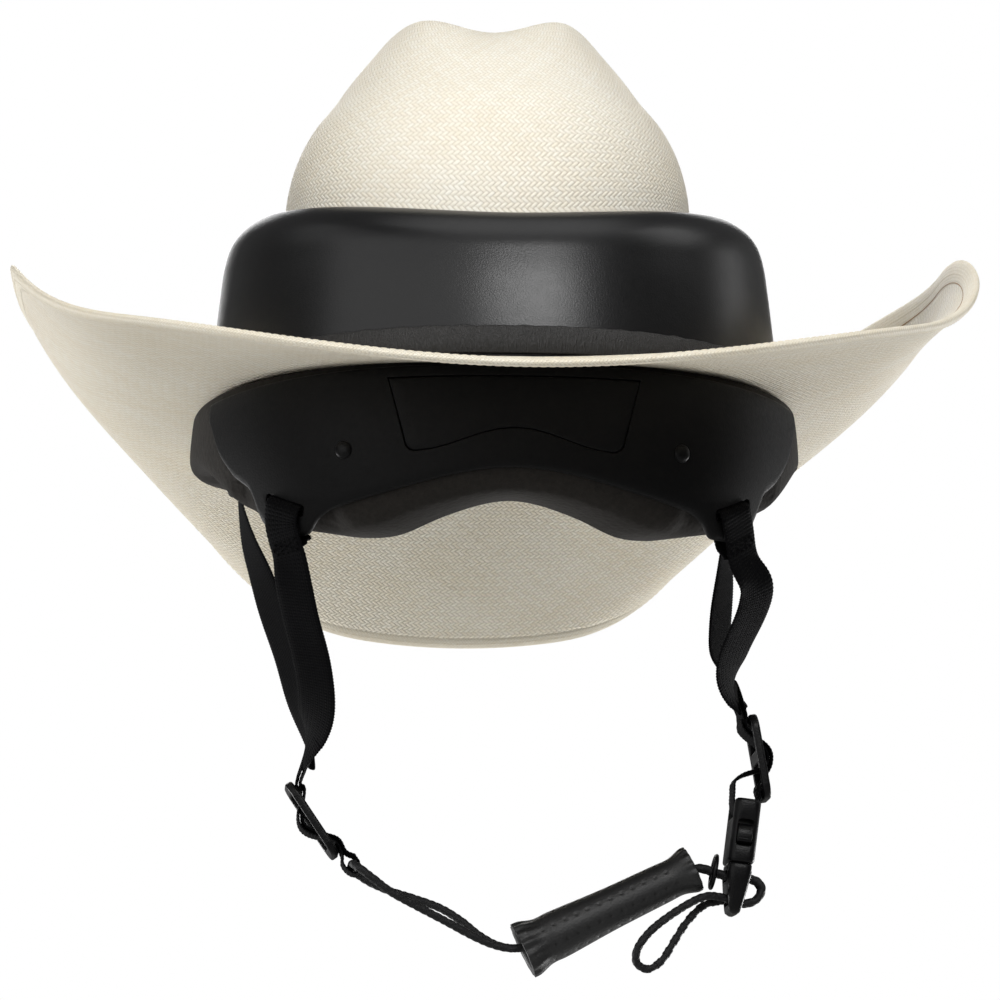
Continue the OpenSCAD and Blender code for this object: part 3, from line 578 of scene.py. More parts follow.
def strawMaterial(name, look):  # strands woven two over, two under, which gives columns of chevrons
    material, net = finish(name)
    u, v = net.along()
    wander = (net.noise(net.vector(u, v), 0.035) - 0.5) * 3
    p = (u + v + wander) * (diagonal / look["pitch"])
    q = (u - v + wander) * (diagonal / look["pitch"])
    i = p.floor()
    j = q.floor()
    over = ((i - j) % 4) < 1.5
    first = ((p - j) % 4) * 0.5
    second = (((i - q) % 4) - 1) * 0.5
    ridge = 1 - (q.fraction() * 2 - 1) ** 2
    other = 1 - (p.fraction() * 2 - 1) ** 2
    high = ridge ** 0.5 * (0.5 + 0.5 * (first * math.pi).sine())
    low = other ** 0.5 * (0.5 + 0.5 * (second * math.pi).sine())
    height = over * high + (1 - over) * low
    strand = over * net.chance(j) + (1 - over) * net.chance(i, 7.0)
    patch = net.noise(net.vector(u, v), 0.02, 3.0)
    share = strand * 0.45 + patch * 0.9 - 0.25
    face = net.mix(share, paint(*look["light"]), paint(*look["warm"]))
    # painted shade: the lower a spot lies between the strands, the more of the darker gap colour it gets
    gapShade = (1 - height) ** 2.5
    colour = net.mix(gapShade * 0.75, face, paint(*look["gap"]))
    fibre = net.noise(net.vector(u * 5, v * 5), 1.0, 2.0)
    relief = net.bump(height + fibre * 0.12, look["relief"])
    roughness = 0.72 - height * look["gloss"] * 0.5
    net.surface({"Base Color": colour, "Roughness": roughness, "Normal": relief})
    return material


def rolled(over, steepest, part):  # how far the upturned side goes: part is np.cos for out, np.sin for up
    steps = 8
    turns = [steepest * ramp(over * k / steps / brim["rollSpan"]) for k in np.arange(0.5, steps)]
    return sum(part(np.radians(turn)) for turn in turns) * over / steps


def brimInner(t):
    gap = 0.3
    return plan(band["halfWidth"] + gap, band["halfLength"] + gap, t)


def brimOuter(t):  # squarer at the front than at the rear
    front = plan(brim["halfWidth"], brim["front"], t, 2.8)
    rear = plan(brim["halfWidth"], brim["rear"], t, 2.1)
    return np.where(np.sin(np.radians(t))[..., None] > 0, front, rear)


def brimFlat(t, f):  # a place on the brim before it is shaped: f is 0 at the band and 1 at the edge
    inner = brimInner(t)
    return inner + np.asarray(f)[..., None] * (brimOuter(t) - inner)


def rearShare(t):  # 1 at the middle of the rear, 0 from the sides forward
    return np.maximum(-np.sin(np.radians(t)), 0) ** 2


def brimPoint(t, f):  # the middle of the shaped brim
    t, f = np.broadcast_arrays(np.asarray(t, float), np.asarray(f, float))
    flat = brimFlat(t, f)
    x, y = flat[..., 0], flat[..., 1]
    spread = np.where(y > 0, brim["foldFront"], brim["foldRear"])
    fold = brim["rollStart"] * (1 - spread * (y / brim["foldReach"]) ** 2)
    over = np.maximum(np.abs(x) - fold, 0)
    steepest = np.where(x < 0, brim["rollLeft"], brim["rollRight"])
    out = np.linalg.norm(flat - brimInner(t), axis=-1)
    s = np.sin(np.radians(t))
    droop = np.tan(np.radians(np.where(s > 0, brim["frontDroop"], brim["rearDroop"])))
    lift = math.tan(math.radians(brim["sideLift"]))
    across = np.sign(x) * (np.minimum(np.abs(x), fold) + rolled(over, steepest, np.cos))
    up = (rolled(over, steepest, np.sin) - droop * out * s ** 2 + lift * out * (1 - s ** 2)
          - brim["settle"] * rearShare(t) * np.clip(1 - f, 0, 1) ** 1.5)
    return np.stack([across, y, up], -1)


def offBrim(t, f, h):  # h above the middle of the brim
    t, f, h = np.broadcast_arrays(*(np.asarray(x, float) for x in (t, f, h)))
    outward = brimPoint(t, f + 0.01) - brimPoint(t, f - 0.01)
    around = brimPoint(t + 1, f) - brimPoint(t - 1, f)
    return brimPoint(t, f) + h[..., None] * unit(np.cross(outward, around))


def fromEdge(t, d):  # the share that lies d inside the edge
    return 1 - np.asarray(d) / np.linalg.norm(brimOuter(t) - brimInner(t), axis=-1)


def ripple(points, size, reach):  # a slow unevenness, the same in each run
    x, y, z = (points[..., k] / reach for k in range(3))
    waves = np.sin(1.7 * x + 0.6 * y + 1) + np.sin(1.3 * y - 0.9 * z + 2) + np.sin(1.1 * z + 1.9 * x)
    return size * waves / 3


def makeBrim():
    t = np.arange(0, 360, 1.25)[:, None]
    tucked = brim["hem"] - brim["tuck"]  # the weave ends inside the sewn edge
    share = np.linspace(0, 1, 40)[None, :]
    f = fromEdge(t, tucked) * share
    half = brim["thickness"] / 2
    wave = ripple(brimPoint(t, f), brim["wave"], 34) * share * (1 - share) * 4
    low = offBrim(t, f, wave - half)
    high = offBrim(t, f, wave + half)[:, ::-1]
    turned = np.vstack([t, t[:1] + 360])
    flat = brimFlat(turned, fromEdge(turned, tucked) * share)
    flat[-1] = flat[0]
    uv = np.concatenate([flat, flat[:, ::-1], flat[:, :1]], 1)
    patches = Patches().grid(np.concatenate([low, high], 1), uv, roundI=True, roundJ=True)
    piece = patches.make("wovenBrim", strawMaterial("strawBrim", strawBrim))
    settled(piece, "helmet", "straw", "straw_brim")


# half of the sewn edge's section: a share of its width, and of half its thickness
hemFace = [(0, 0.55), (0.06, 0.8), (0.2, 0.96), (0.4, 1), (0.6, 0.98), (0.8, 0.84), (0.93, 0.56)]


def makeHem():
    t = np.arange(0, 360, 0.75)
    profile = np.array([(f, -h) for f, h in hemFace] + [(1, 0)] + hemFace[::-1])
    f = fromEdge(t[:, None], brim["hem"] * (1 - profile[None, :, 0]))
    points = offBrim(t[:, None], f, brim["hemThickness"] / 2 * profile[None, :, 1])
    outer = brimPoint(t, np.ones_like(t))
    run = lengths(np.concatenate([outer, outer[:1]]))[:, None]
    across = lengths(points[0])
    across = np.append(across, across[-1] + 2)[None, :]
    uv = np.stack(np.broadcast_arrays(run, across), -1)
    patches = Patches().grid(points, uv, roundI=True, roundJ=True)
    piece = patches.make("sewnBrimEdge", strawMaterial("strawHem", strawEdge))
    settled(piece, "helmet", "straw_edge", "brim_edge")


crown = {"halfWidth": 79.5, "halfLength": 101.5, "endTaper": 1.3, "foot": 76.2, "top": 154.5,
         "topInset": 43.5, "creaseDepth": 18, "creaseEnd": 8.5, "creaseHalf": 32, "shift": 2.5,
         "wave": 0.7, "lip": 0.972, "dent": 0.16, "dentY": 38, "dentZ": 138, "dentReach": 20}
# each row of the crown's side: inset, share of the height, share of the dip and share of the crease
crownRows = [(0, -0.02, 1, 0), (0, 0, 1, 0), (0.8, 0.14, 0.7, 0), (3.7, 0.29, 0.35, 0), (9, 0.43, 0.1, 0),
             (16.8, 0.56, 0, 0), (24.2, 0.7, 0, 0.1), (32.5, 0.84, 0, 0.4), (38.5, 0.94, 0, 0.8),
             (43.5, 1, 0, 1)]


def endDip(t):  # the straw and the shell's shoulder are lower at the front and the rear
    return band["dip"] * np.sin(np.radians(t)) ** 2


def crease(x):  # 1 in the middle, 0 from its sides outward
    return np.where(np.abs(x) < crown["creaseHalf"], 0.5 + 0.5 * np.cos(np.pi * x / crown["creaseHalf"]), 0)


def dented(points):  # two dents at the front, and the whole crown moved a little to the left
    forward = (points[..., 1] - crown["dentY"]) / crown["dentReach"]
    upward = (points[..., 2] - crown["dentZ"]) / crown["dentReach"]
    share = crown["dent"] * np.exp(-forward ** 2 - upward ** 2)
    points[..., 0] = points[..., 0] * (1 - share) - crown["shift"]
    return points


def makeCrown():
    t = np.arange(0, 360, 2.0)
    rows = splined(crownRows, 5)
    rings = []
    for inset, share, lean, creased in rows:
        flat = plan(crown["halfWidth"] - inset, crown["halfLength"] - crown["endTaper"] * inset, t)
        z = crown["foot"] + (crown["top"] - crown["foot"]) * share - lean * endDip(t)
        z = z - creased * crown["creaseEnd"] * crease(flat[:, 0])
        rings.append(np.concatenate([flat, z[:, None]], 1))
    a = crown["halfWidth"] - crown["topInset"]
    b = crown["halfLength"] - crown["endTaper"] * crown["topInset"]
    deeper = crown["creaseDepth"] - crown["creaseEnd"]
    for share in np.linspace(0.94, 0.0, 18):
        flat = share * plan(a, b, t)
        deep = crown["creaseEnd"] + deeper * (1 - (flat[:, 1] / b) ** 2)
        z = crown["top"] + 1 - share ** 2 - deep * crease(flat[:, 0])
        rings.append(np.concatenate([flat, z[:, None]], 1))
    points = np.array(rings)
    edge = len(rows)
    soft = np.exp(-((np.arange(len(points)) - edge) / 4.0) ** 2)[:, None, None]
    for _ in range(3):  # the edge of the top is rounded off
        middle = points.copy()
        middle[1:-1] = (points[:-2] + 2 * points[1:-1] + points[2:]) / 4
        points = points + soft * (middle - points)
    points = dented(points)
    wave = ripple(points[:edge], crown["wave"], 26) * np.linspace(0, 1, edge)[:, None]
    outward = np.append(unit(plan(1, 1, t, 2)), np.zeros((len(t), 1)), 1)
    points[:edge] += wave[..., None] * outward
    rear = int(np.argmin(np.abs(t - 270)))
    climb = lengths(points[:, rear])
    meanRadius = 72
    run = np.radians(np.append(t, 360.0)) * meanRadius
    side = np.stack(np.broadcast_arrays(run[None, :], climb[:edge, None]), -1)
    top = points[edge - 1:, :, :2]
    top = np.concatenate([top, top[:, :1]], 1)
    patches = Patches().grid(points[:edge], side, roundJ=True)
    patches.grid(points[edge - 1:], top, roundJ=True)
    inner = points[:2] * (crown["lip"], crown["lip"], 1)  # a short lip behind the foot, out of sight
    inner[1, :, 2] -= 2 / (len(points) - 1)
    patches.grid(np.concatenate([points[:1], inner]), roundJ=True)
    piece = patches.make("wovenCrown", strawMaterial("strawCrown", straw))
    settled(piece, "helmet", "straw", "straw_crown")


hemThread = {"length": 2.2, "gap": 0.9, "radius": 0.17, "sunk": 0.5, "row": 0.56}


def threadMaterial(name, dark, light):
    material, net = finish(name)
    fibre = net.noise(net.place(), 3.0, 2.0)
    net.surface({"Base Color": net.mix(fibre, paint(*dark), paint(*light)), "Roughness": 0.6,
                 "Normal": net.bump(fibre, 0.05)})
    return material


def alongLine(run, values, at):  # the three values at a length along a line
    return np.array([np.interp(at, run, values[:, k]) for k in range(3)])


def stitches(patches, line, normals, thread):  # short capsules laid along a line
    length, radius = thread["length"], thread["radius"]
    run = lengths(line)
    count = max(int(run[-1] // (length + thread["gap"])), 1)
    step = run[-1] / count
    shape = np.array([(-0.5, 0), (-0.44, 0.7), (-0.25, 1), (0, 1.05), (0.25, 1), (0.44, 0.7), (0.5, 0)])
    turn = np.linspace(0, 2 * np.pi, 6, endpoint=False)
    for k in range(count):
        spot = (k + 0.5) * step
        ends = [alongLine(run, line, at) for at in (spot - 0.5, spot + 0.5)]
        up = alongLine(run, normals, spot)
        way = unit(ends[1] - ends[0])
        side = unit(np.cross(way, up))
        up = np.cross(side, way)
        middle = (ends[0] + ends[1]) / 2 + up * radius * (1 - 2 * thread["sunk"])
        rings = middle + shape[:, :1, None] * length * way + radius * shape[:, 1:, None] * (
            np.cos(turn)[None, :, None] * side + np.sin(turn)[None, :, None] * up)
        patches.grid(rings, roundJ=True)


def makeHemStitches():
    t = np.arange(0, 360.5, 1.0)
    patches = Patches()
    f = fromEdge(t, brim["hem"] * hemThread["row"])
    middle = brimPoint(t, f)
    for side in (-1, 1):
        face = offBrim(t, f, side * brim["hemThickness"] / 2)
        stitches(patches, face, unit(face - middle), hemThread)
    piece = patches.make("brimStitches", threadMaterial("strawThread", (226, 212, 184), (244, 236, 216)))
    settled(piece, "helmet", "straw_edge")


brownLine = {"inset": 7.2, "endInset": 3, "radius": 0.26, "lift": 0.05}


def makeEdgeLine():  # the thin brown line that shows a little in from the edge, on the upper side
    t = np.arange(0, 360, 1.0)
    f = fromEdge(t, brownLine["inset"] + brownLine["endInset"] * np.sin(np.radians(t)) ** 2)
    brimReach = 90
    rings = []
    for turn in np.linspace(0, 2 * np.pi, 6, endpoint=False):
        aside = brownLine["radius"] * np.cos(turn) / brimReach
        above = brim["thickness"] / 2 + brownLine["lift"] + brownLine["radius"] * np.sin(turn)
        rings.append(offBrim(t, f + aside, above))
    patches = Patches().grid(np.stack(rings, 1), roundI=True, roundJ=True)
    piece = patches.make("brimBrownLine", threadMaterial("brownLineColour", (150, 112, 62), (186, 150, 98)))
    settled(piece, "helmet", "straw_edge")


makeBrim()
makeHem()
makeCrown()
makeHemStitches()
makeEdgeLine()
print("straw woven")


# shell and the leather strip at its foot

# each row of the shell: inset, height, and its share of the dip
shellRows = [(0, -2, 0), (1, 15, 0), (2.5, 32, 0.2), (4, 46, 0.5), (5.5, 57.5, 0.8), (8, 65.5, 1),
             (13, 71, 1), (20, 74, 1), (36, 75.5, 1), (39.5, 77.5, 0.95), (48, 93.5, 0.4), (60, 107.5, 0),
             (75, 117, 0), (93, 121.5, 0)]
shell = {"foot": -2, "innerTop": 119, "top": 121.5,
         "colour": (8, 8, 9), "deep": (5, 5, 6), "roughness": 0.26}
# the strip's light colour is a painted highlight on the wrinkles' tops
strip = {"foot": 2.2, "height": 10.5, "thickness": 1.2, "radius": 121,
         "colour": (12, 12, 12), "light": (38, 36, 34)}


def bandRing(t, inset, z):
    flat = plan(band["halfWidth"] - inset, band["halfLength"] - inset, t)
    return np.concatenate([flat, np.broadcast_to(np.asarray(z, float), t.shape)[:, None]], 1)


def shellRing(t, row, deep=0):  # a row of the shell's face, or of one that lies deeper
    inset, z, share = row
    under = min(max((z - 57) / 14, 0), 1)  # above the shoulder, deeper is lower as well
    return bandRing(t, inset + deep, z - share * endDip(t) - deep * under)


def middleRing(t, z):  # all its points on the middle line
    return np.broadcast_to((0, 0, z), (len(t), 3))


def shellMaterial():
    material, net = finish("satinShell")
    spot = net.place()
    haze = net.noise(spot, 0.02, 3.0)
    speck = net.noise(spot, 1.7, 2.0)
    scuff = net.noise(spot, 0.35, 6.0)
    colour = net.mix(haze, paint(*shell["deep"]), paint(*shell["colour"]))
    rough = haze * 0.08 + scuff * 0.06 + shell["roughness"]
    net.surface({"Base Color": colour, "Roughness": rough, "Normal": net.bump(speck, 0.05),
                 "Specular IOR Level": 0.36})
    return material


def makeShell():
    t = np.arange(0, 360, 1.5)
    outer = [shellRing(t, row) for row in splined(shellRows, 6)]
    inner = [shellRing(t, row, band["wall"]) for row in splined(shellRows[:-1], 4)]
    edge = 0.6
    lip = [bandRing(t, band["wall"] - edge, shell["foot"]), bandRing(t, edge, shell["foot"])]
    rings = [middleRing(t, shell["innerTop"])] + inner[::-1] + lip + outer + [middleRing(t, shell["top"])]
    points = np.array(rings)
    points[..., 2] = np.maximum(points[..., 2], shell["foot"])
    piece = Patches().grid(points, roundJ=True).make("satinShell", shellMaterial())
    settled(piece, "helmet", "shell", "helmet_shell")


def stripMaterial():  # wrinkled across, like a turned leather band
    material, net = finish("grainedStrip")
    u, v = net.along()
    bend = net.noise(net.vector(u * 0.3, v * 0.35), 1.0, 2.0) * 2.2
    wrinkle = net.noise(net.vector(u * 1.9 + bend, v * 0.42), 1.0, 4.0, 0.6)
    grain = net.cells(net.vector(u, v), 1.4)
    height = wrinkle * 0.85 + grain * 0.2
    # painted highlight and shade: the raised wrinkles and grain are lighter, and their creases darker
    colour = net.mix(height, paint(*strip["colour"]), paint(*strip["light"]))
    net.surface({"Base Color": colour, "Roughness": 0.5 - grain * 0.12, "Normal": net.bump(height, 0.55),
                 "Specular IOR Level": 0.36})
    return material


def makeStrip():
    t = np.arange(0, 360, 1.0)
    low, high, thick = strip["foot"], strip["height"], strip["thickness"]
    profile = [(0.1, low), (thick * 0.8, low), (thick, low + 0.5), (thick + 0.12, low + 3),
               (thick + 0.15, 6.5), (thick, high - 1), (thick * 0.85, high - 0.35),
               (thick * 0.5, high - 0.05), (0.1, high - 0.1), (0.1, low)]
    pucker = 0.12 * np.sin(np.radians(t) * 97) + 0.1 * np.sin(np.radians(t) * 61 + 1)
    settle = brim["settle"] * rearShare(t)
    rings = []
    for out, z in profile:  # leaning with the shell, puckered at the upper edge, on the brim at the foot
        rings.append(bandRing(t, (z + 2) / 17 - out, z + pucker * (z > 7) - settle * (z < 3)))
    points = np.array(rings)
    run = np.radians(np.append(t, 360.0)) * strip["radius"]
    climb = np.array([z for _, z in profile])
    uv = np.stack(np.broadcast_arrays(run[None, :], climb[:, None]), -1)
    patches = Patches().grid(points, uv, roundJ=True)
    piece = patches.make("leatherStrip", stripMaterial())
    settled(piece, "helmet", "strip", "shell_base_strip")


makeShell()
makeStrip()
print("shell and strip done")


# foam liner, rear cover, insert and rivets

foam = {"colour": (32, 30, 28), "light": (52, 49, 46), "cavityWidth": 82, "cavityLength": 102,
        "cavityHeight": 100, "top": 117, "brimFace": -3.2}
cover = {"thickness": 2.8, "top": 5, "span": 62, "gap": 0.3, "colour": (8, 8, 9), "light": (14, 14, 15)}
# the face of the foam below the brim, which the cover follows: it narrows above and below the middle
underBrim = {"halfWidth": 118, "halfLength": 134, "middle": -22, "reach": 44,
             "lessWidth": 7, "lessLength": 10}
# the height of the lower edge by degrees from the rear
foamEdge = [(0, -48), (18, -56), (27, -62), (38, -61), (50, -56), (54, -51.5), (59.5, -43), (67.5, -31),
            (75, -25), (90, -20), (110, -17), (140, -11), (165, -5.8), (180, -5.6)]
coverEdge = [(0, -42), (10, -44.5), (18, -48.5), (27, -52.5), (33, -55), (36, -58), (38, -63), (43, -63),
             (46.5, -60), (48.5, -54), (49, -45), (53.6, -38.5), (58.2, -28), (61, -17), (62, -14)]


def eased(pairs, spots, blur):  # a height looked up by angle, with its corners rounded
    table = np.array(pairs, float)
    spread = np.linspace(-1, 1, 15)
    weights = 1 - np.abs(spread) * 0.9
    looks = [weight * np.interp(np.abs(spots + offset * blur), table[:, 0], table[:, 1])
             for weight, offset in zip(weights, spread)]
    return sum(looks) / weights.sum()


def fromRear(t):  # degrees from the middle of the rear, to either side
    return np.abs((np.asarray(t, float) - 270 + 180) % 360 - 180)


def foamLow(t):  # more rounded over the middle
    share = np.clip((fromRear(t) - 8) / 12, 0, 1)
    return (1 - share) * eased(foamEdge, fromRear(t), 12) + share * eased(foamEdge, fromRear(t), 7)


def coverLow(t):  # likewise
    share = np.clip((fromRear(t) - 16) / 10, 0, 1)
    return (1 - share) * eased(coverEdge, fromRear(t), 8) + share * eased(coverEdge, fromRear(t), 1.2)


def coverHigh(t):
    return -cover["top"] - 2 * (fromRear(t) / cover["span"]) ** 2


def lowerHalves(z, out):  # half the width and half the length at a height
    bulge = ((z - underBrim["middle"]) / underBrim["reach"]) ** 2
    return (underBrim["halfWidth"] - underBrim["lessWidth"] * bulge + out,
            underBrim["halfLength"] - underBrim["lessLength"] * bulge + out)


def lowerPoint(t, z, out):  # on the lower foam's face, or out from it
    t, z, out = np.broadcast_arrays(*(np.asarray(x, float) for x in (t, z, out)))
    return np.concatenate([plan(*lowerHalves(z, out), t), z[..., None]], -1)


def cavityPoint(t, z, inward=0.0):  # on the face of the head space
    t, z, inward = np.broadcast_arrays(*(np.asarray(x, float) for x in (t, z, inward)))
    share = np.sqrt(np.maximum(1 - (np.maximum(z, 0) / foam["cavityHeight"]) ** 2, 0))
    flat = plan(foam["cavityWidth"] * share - inward, foam["cavityLength"] * share - inward, t, 2.1)
    return np.concatenate([flat, z[..., None]], -1)


def foamMaterial():
    material, net = finish("mouldedFoam")
    spot = net.place()
    bead = net.cells(spot, 0.42)
    pit = net.noise(spot, 1.5, 3.0)
    colour = net.mix(pit * 0.6 + bead * 0.3, paint(*foam["colour"]), paint(*foam["light"]))
    net.surface({"Base Color": colour, "Roughness": 0.92, "Normal": net.bump(bead * 0.8 + pit * 0.5, 0.25),
                 "Specular IOR Level": 0.2})
    return material


foamLook = foamMaterial()


def makeFoam():
    t = np.arange(0, 360, 1.5)
    low = foamLow(t)
    away = fromRear(t)
    let = 3.4 * ramp((away - 31) / 3) * ramp((58 - away) / 3)  # the room for the straps behind the cover
    rings = [middleRing(t, foam["cavityHeight"])]
    for climb in (88, 84, 79, 74, 68, 62, 56, 50, 44, 38, 32, 26, 20, 15, 10, 5, 0):
        rings.append(cavityPoint(t, foam["cavityHeight"] * math.sin(math.radians(climb))))
    for share in np.linspace(0.12, 1, 8):
        rings.append(cavityPoint(t, share * (low + 4)))
    for inward, up in ((-0.3, 2.2), (-1.2, 0.9), (-3, 0.1)):
        rings.append(cavityPoint(t, low + up, inward))
    fuller = 1 + 1.2 * ramp((away - 120) / 40)  # rounder at the front
    for share, inset in ((0, 5), (0.02, 3), (0.06, 1.4), (0.12, 0.5), (0.2, 0.1), (0.3, 0), (0.42, 0),
                         (0.55, 0), (0.7, 0), (0.85, 0), (1, 0)):
        z = low + share * (foam["brimFace"] - low)
        rings.append(lowerPoint(t, z, -inset * fuller - let * ramp((-36.5 - z) / 2.5)))
    inset = band["wall"] + 0.3
    rings.append(bandRing(t, inset + 0.2, -2.9))
    rings.append(bandRing(t, inset, 10.0))
    for row in splined(shellRows[:-1], 2):  # the face that the shell hides
        if row[1] > 14:
            rings.append(shellRing(t, row, inset))
    rings.append(middleRing(t, foam["top"]))
    piece = Patches().grid(np.array(rings), roundJ=True).make("foamLiner", foamLook)
    settled(piece, "helmet", "foam", "foam_liner")


def coverMaterial(name, roughness):
    material, net = finish(name)
    spot = net.place()
    grain = net.cells(spot, 1.6)
    cloud = net.noise(spot, 0.03, 3.0)
    scratch = net.noise(spot, 0.5, 8.0)
    colour = net.mix(cloud * 0.7 + grain * 0.2, paint(*cover["colour"]), paint(*cover["light"]))
    rough = roughness + cloud * 0.1 + (scratch - 0.5) * 0.2
    net.surface({"Base Color": colour, "Roughness": rough, "Normal": net.bump(grain, 0.05),
                 "Specular IOR Level": 0.15})
    return material


coverLook = coverMaterial("mattCover", 0.52)
plasticLook = coverMaterial("buckleResin", 0.34)


def coverBody():  # its section, round at the edges, from the lower outer edge up and back down inside
    t = 270 + np.linspace(-cover["span"], cover["span"], 201)
    low, high = coverLow(t), coverHigh(t)
    inner, outer = cover["gap"], cover["thickness"] + cover["gap"]
    section = [(outer, low + 1.1 + k / 16 * (high - low - 2.2)) for k in range(16)]
    section += [(outer, high - 1.1), (outer - 0.3, high - 0.35), (outer - 1.1, high), (inner + 0.6, high)]
    section += [(inner, high - 0.6 - k / 5 * (high - low - 1.2)) for k in range(6)]
    section += [(inner + 0.6, low), (outer - 1.1, low), (outer - 0.3, low + 0.35)]
    points = np.stack([lowerPoint(t, z, out) for out, z in section], 1)
    return Patches().grid(capped(points), roundJ=True).make("rearCover")


def coverFrame(t, z):  # a place on the cover's face: point, along to the rear centre, down, outward
    toward = 1 if t < 270 else -1
    along = unit(lowerPoint(t + toward, z, 0) - lowerPoint(t - toward, z, 0))
    outward = unit(np.cross(lowerPoint(t, z - 1, 0) - lowerPoint(t, z + 1, 0), along)) * toward
    at = lowerPoint(t, z, cover["gap"] + cover["thickness"])
    return at, along, toward * np.cross(along, outward), outward


strapSlot = {"fromRear": 42, "z": -52, "tilt": 22, "length": 18.5, "height": 4.6}


def slotFrame(side):
    at, along, down, outward = coverFrame(270 + side * strapSlot["fromRear"], strapSlot["z"])
    c, s = math.cos(math.radians(strapSlot["tilt"])), math.sin(math.radians(strapSlot["tilt"]))
    return at, c * along + s * down, c * down - s * along, outward


insert = {"topHalf": 46, "lowHalf": 40, "corner": 4, "top": -9.5, "foot": -37, "arch": 8, "middle": -19}


def insertOutline(less):  # seen from behind, with an arch in its lower edge
    corner = insert["corner"]
    top, foot = insert["top"] - less, insert["foot"] + less
    reach = insert["lowHalf"] - less - corner
    points = [(less - insert["topHalf"], top)]
    for start, sign in ((180, -1), (270, 1)):
        for a in np.radians(np.linspace(start, start + 90, 7)):
            points.append((sign * reach + corner * math.cos(a), foot + corner + corner * math.sin(a)))
        if sign < 0:
            points += [(reach * k / 6, foot + insert["arch"] * (0.5 + 0.5 * math.cos(math.radians(30 * k))))
                       for k in range(-5, 6)]
    return points + [(insert["topHalf"] - less, top)]


def onCover(flat, out):  # from a place seen from behind to the cover's surface
    x, z = flat[..., 0], flat[..., 1]
    a, b = lowerHalves(z, out)
    return np.stack([x, -b * (1 - (np.abs(x) / a) ** 2.3) ** (1 / 2.3), z], -1)


def insertBody():
    inner, outer = cover["gap"], cover["gap"] + cover["thickness"]
    middle = np.array([0.0, insert["middle"]])
    rings = []
    ways = [(0.8, k / 8, inner) for k in range(9)] + [(0.5, 1, inner + 0.2), (0.4, 1, inner + 0.5)]
    ways += [(0.4, 1, outer - 0.45), (0.5, 1, outer - 0.15), (0.75, 1, outer)]
    ways += [(0.75, k / 8, outer) for k in range(7, -1, -1)]
    for less, share, out in ways:
        outline = np.array(insertOutline(less))
        closed = np.concatenate([outline, outline[:1]])
        spots = np.linspace(0, 1, 200, endpoint=False)
        run = lengths(closed) / lengths(closed)[-1]
        edge = np.stack([np.interp(spots, run, closed[:, k]) for k in range(2)], 1)
        rings.append(onCover(middle + share * (edge - middle), out))
    return Patches().grid(np.array(rings), roundJ=True).make("coverInsert", coverLook)


def makeCover():
    through = axes((0, -130, 0), (1, 0, 0), (0, 0, 1), (0, -1, 0))
    body = coverBody()
    carved(body, prism(insertOutline(0), -130, 130, through))
    for side in (-1, 1):
        at, along, down, outward = slotFrame(side)
        turned = axes(at, along, np.cross(outward, along), outward)
        carved(body, prism(roundedOutline(strapSlot["length"], strapSlot["height"], 1.4, 5), -7, 7, turned))
    softened(body, 0.35, 50)
    dressed(body, coverLook)
    settled(body, "helmet", "cover", "rear_cover")
    settled(insertBody(), "helmet", "cover", "cover_insert")


rivet = {"fromRear": 29.5, "z": -35}
rivetProfile = [(0, 1.56), (0.8, 1.53), (1.5, 1.42), (2.1, 1.22), (2.6, 0.96), (3.0, 0.6), (3.2, 0.35),
                (3.3, 0.1), (1.7, 0.1), (1.7, -2.4), (0, -2.4)]


def lathe(patches, profile, steps, matrix, closed=False):  # radius and height turned about the frame's Z
    turn = np.linspace(0, 2 * np.pi, steps, endpoint=False)
    shape = np.array(profile, float)
    local = np.stack([shape[:, :1] * np.cos(turn), shape[:, :1] * np.sin(turn),
                      np.repeat(shape[:, 1:], steps, 1)], -1)
    run = np.append(turn, 2 * np.pi)[None, :] * shape[:, 0].max()
    height = lengths(np.append(shape, shape[:, :1] * 0, 1))[:, None]
    if closed:
        height = np.append(height, height[-1:] + 1, 0)
    uv = np.stack(np.broadcast_arrays(run, height), -1)
    return patches.grid(placed(local, matrix), uv, roundI=closed, roundJ=True)


def makeRivets():
    patches = Patches()
    for side in (-1, 1):
        at, along, down, outward = coverFrame(270 + side * rivet["fromRear"], rivet["z"])
        lathe(patches, rivetProfile, 40, axes(at, along, np.cross(outward, along), outward))
    settled(patches.make("snapRivets", plasticLook), "helmet", "cover", "cover_rivets")


makeFoam()
makeCover()
makeRivets()
print("foam and rear cover done")


# comfort pads: stitched cloth over foam, blown up by cloth simulation between their seams

padCloth = {"dark": (18, 18, 20), "light": (42, 42, 46), "thickness": 6, "gap": 0.6, "weave": 6.28,
            "fill": 0.5, "pressure": 6.0, "mostSwell": 1.1, "frames": 20}


def padMaterial():
    material, net = finish("padCloth")
    u, v = net.along()
    cross = (u * padCloth["weave"]).sine() * (v * padCloth["weave"]).sine()
    fuzz = net.noise(net.vector(u, v), 1.8, 3.0)
    colour = net.mix(fuzz * 0.7 + cross * 0.2 + 0.1, paint(*padCloth["dark"]), paint(*padCloth["light"]))
    net.surface({"Base Color": colour, "Roughness": 0.9, "Normal": net.bump(cross * 0.5 + fuzz, 0.12),
                 "Sheen Weight": 0.3, "Sheen Roughness": 0.5})
    return material


padLook = padMaterial()


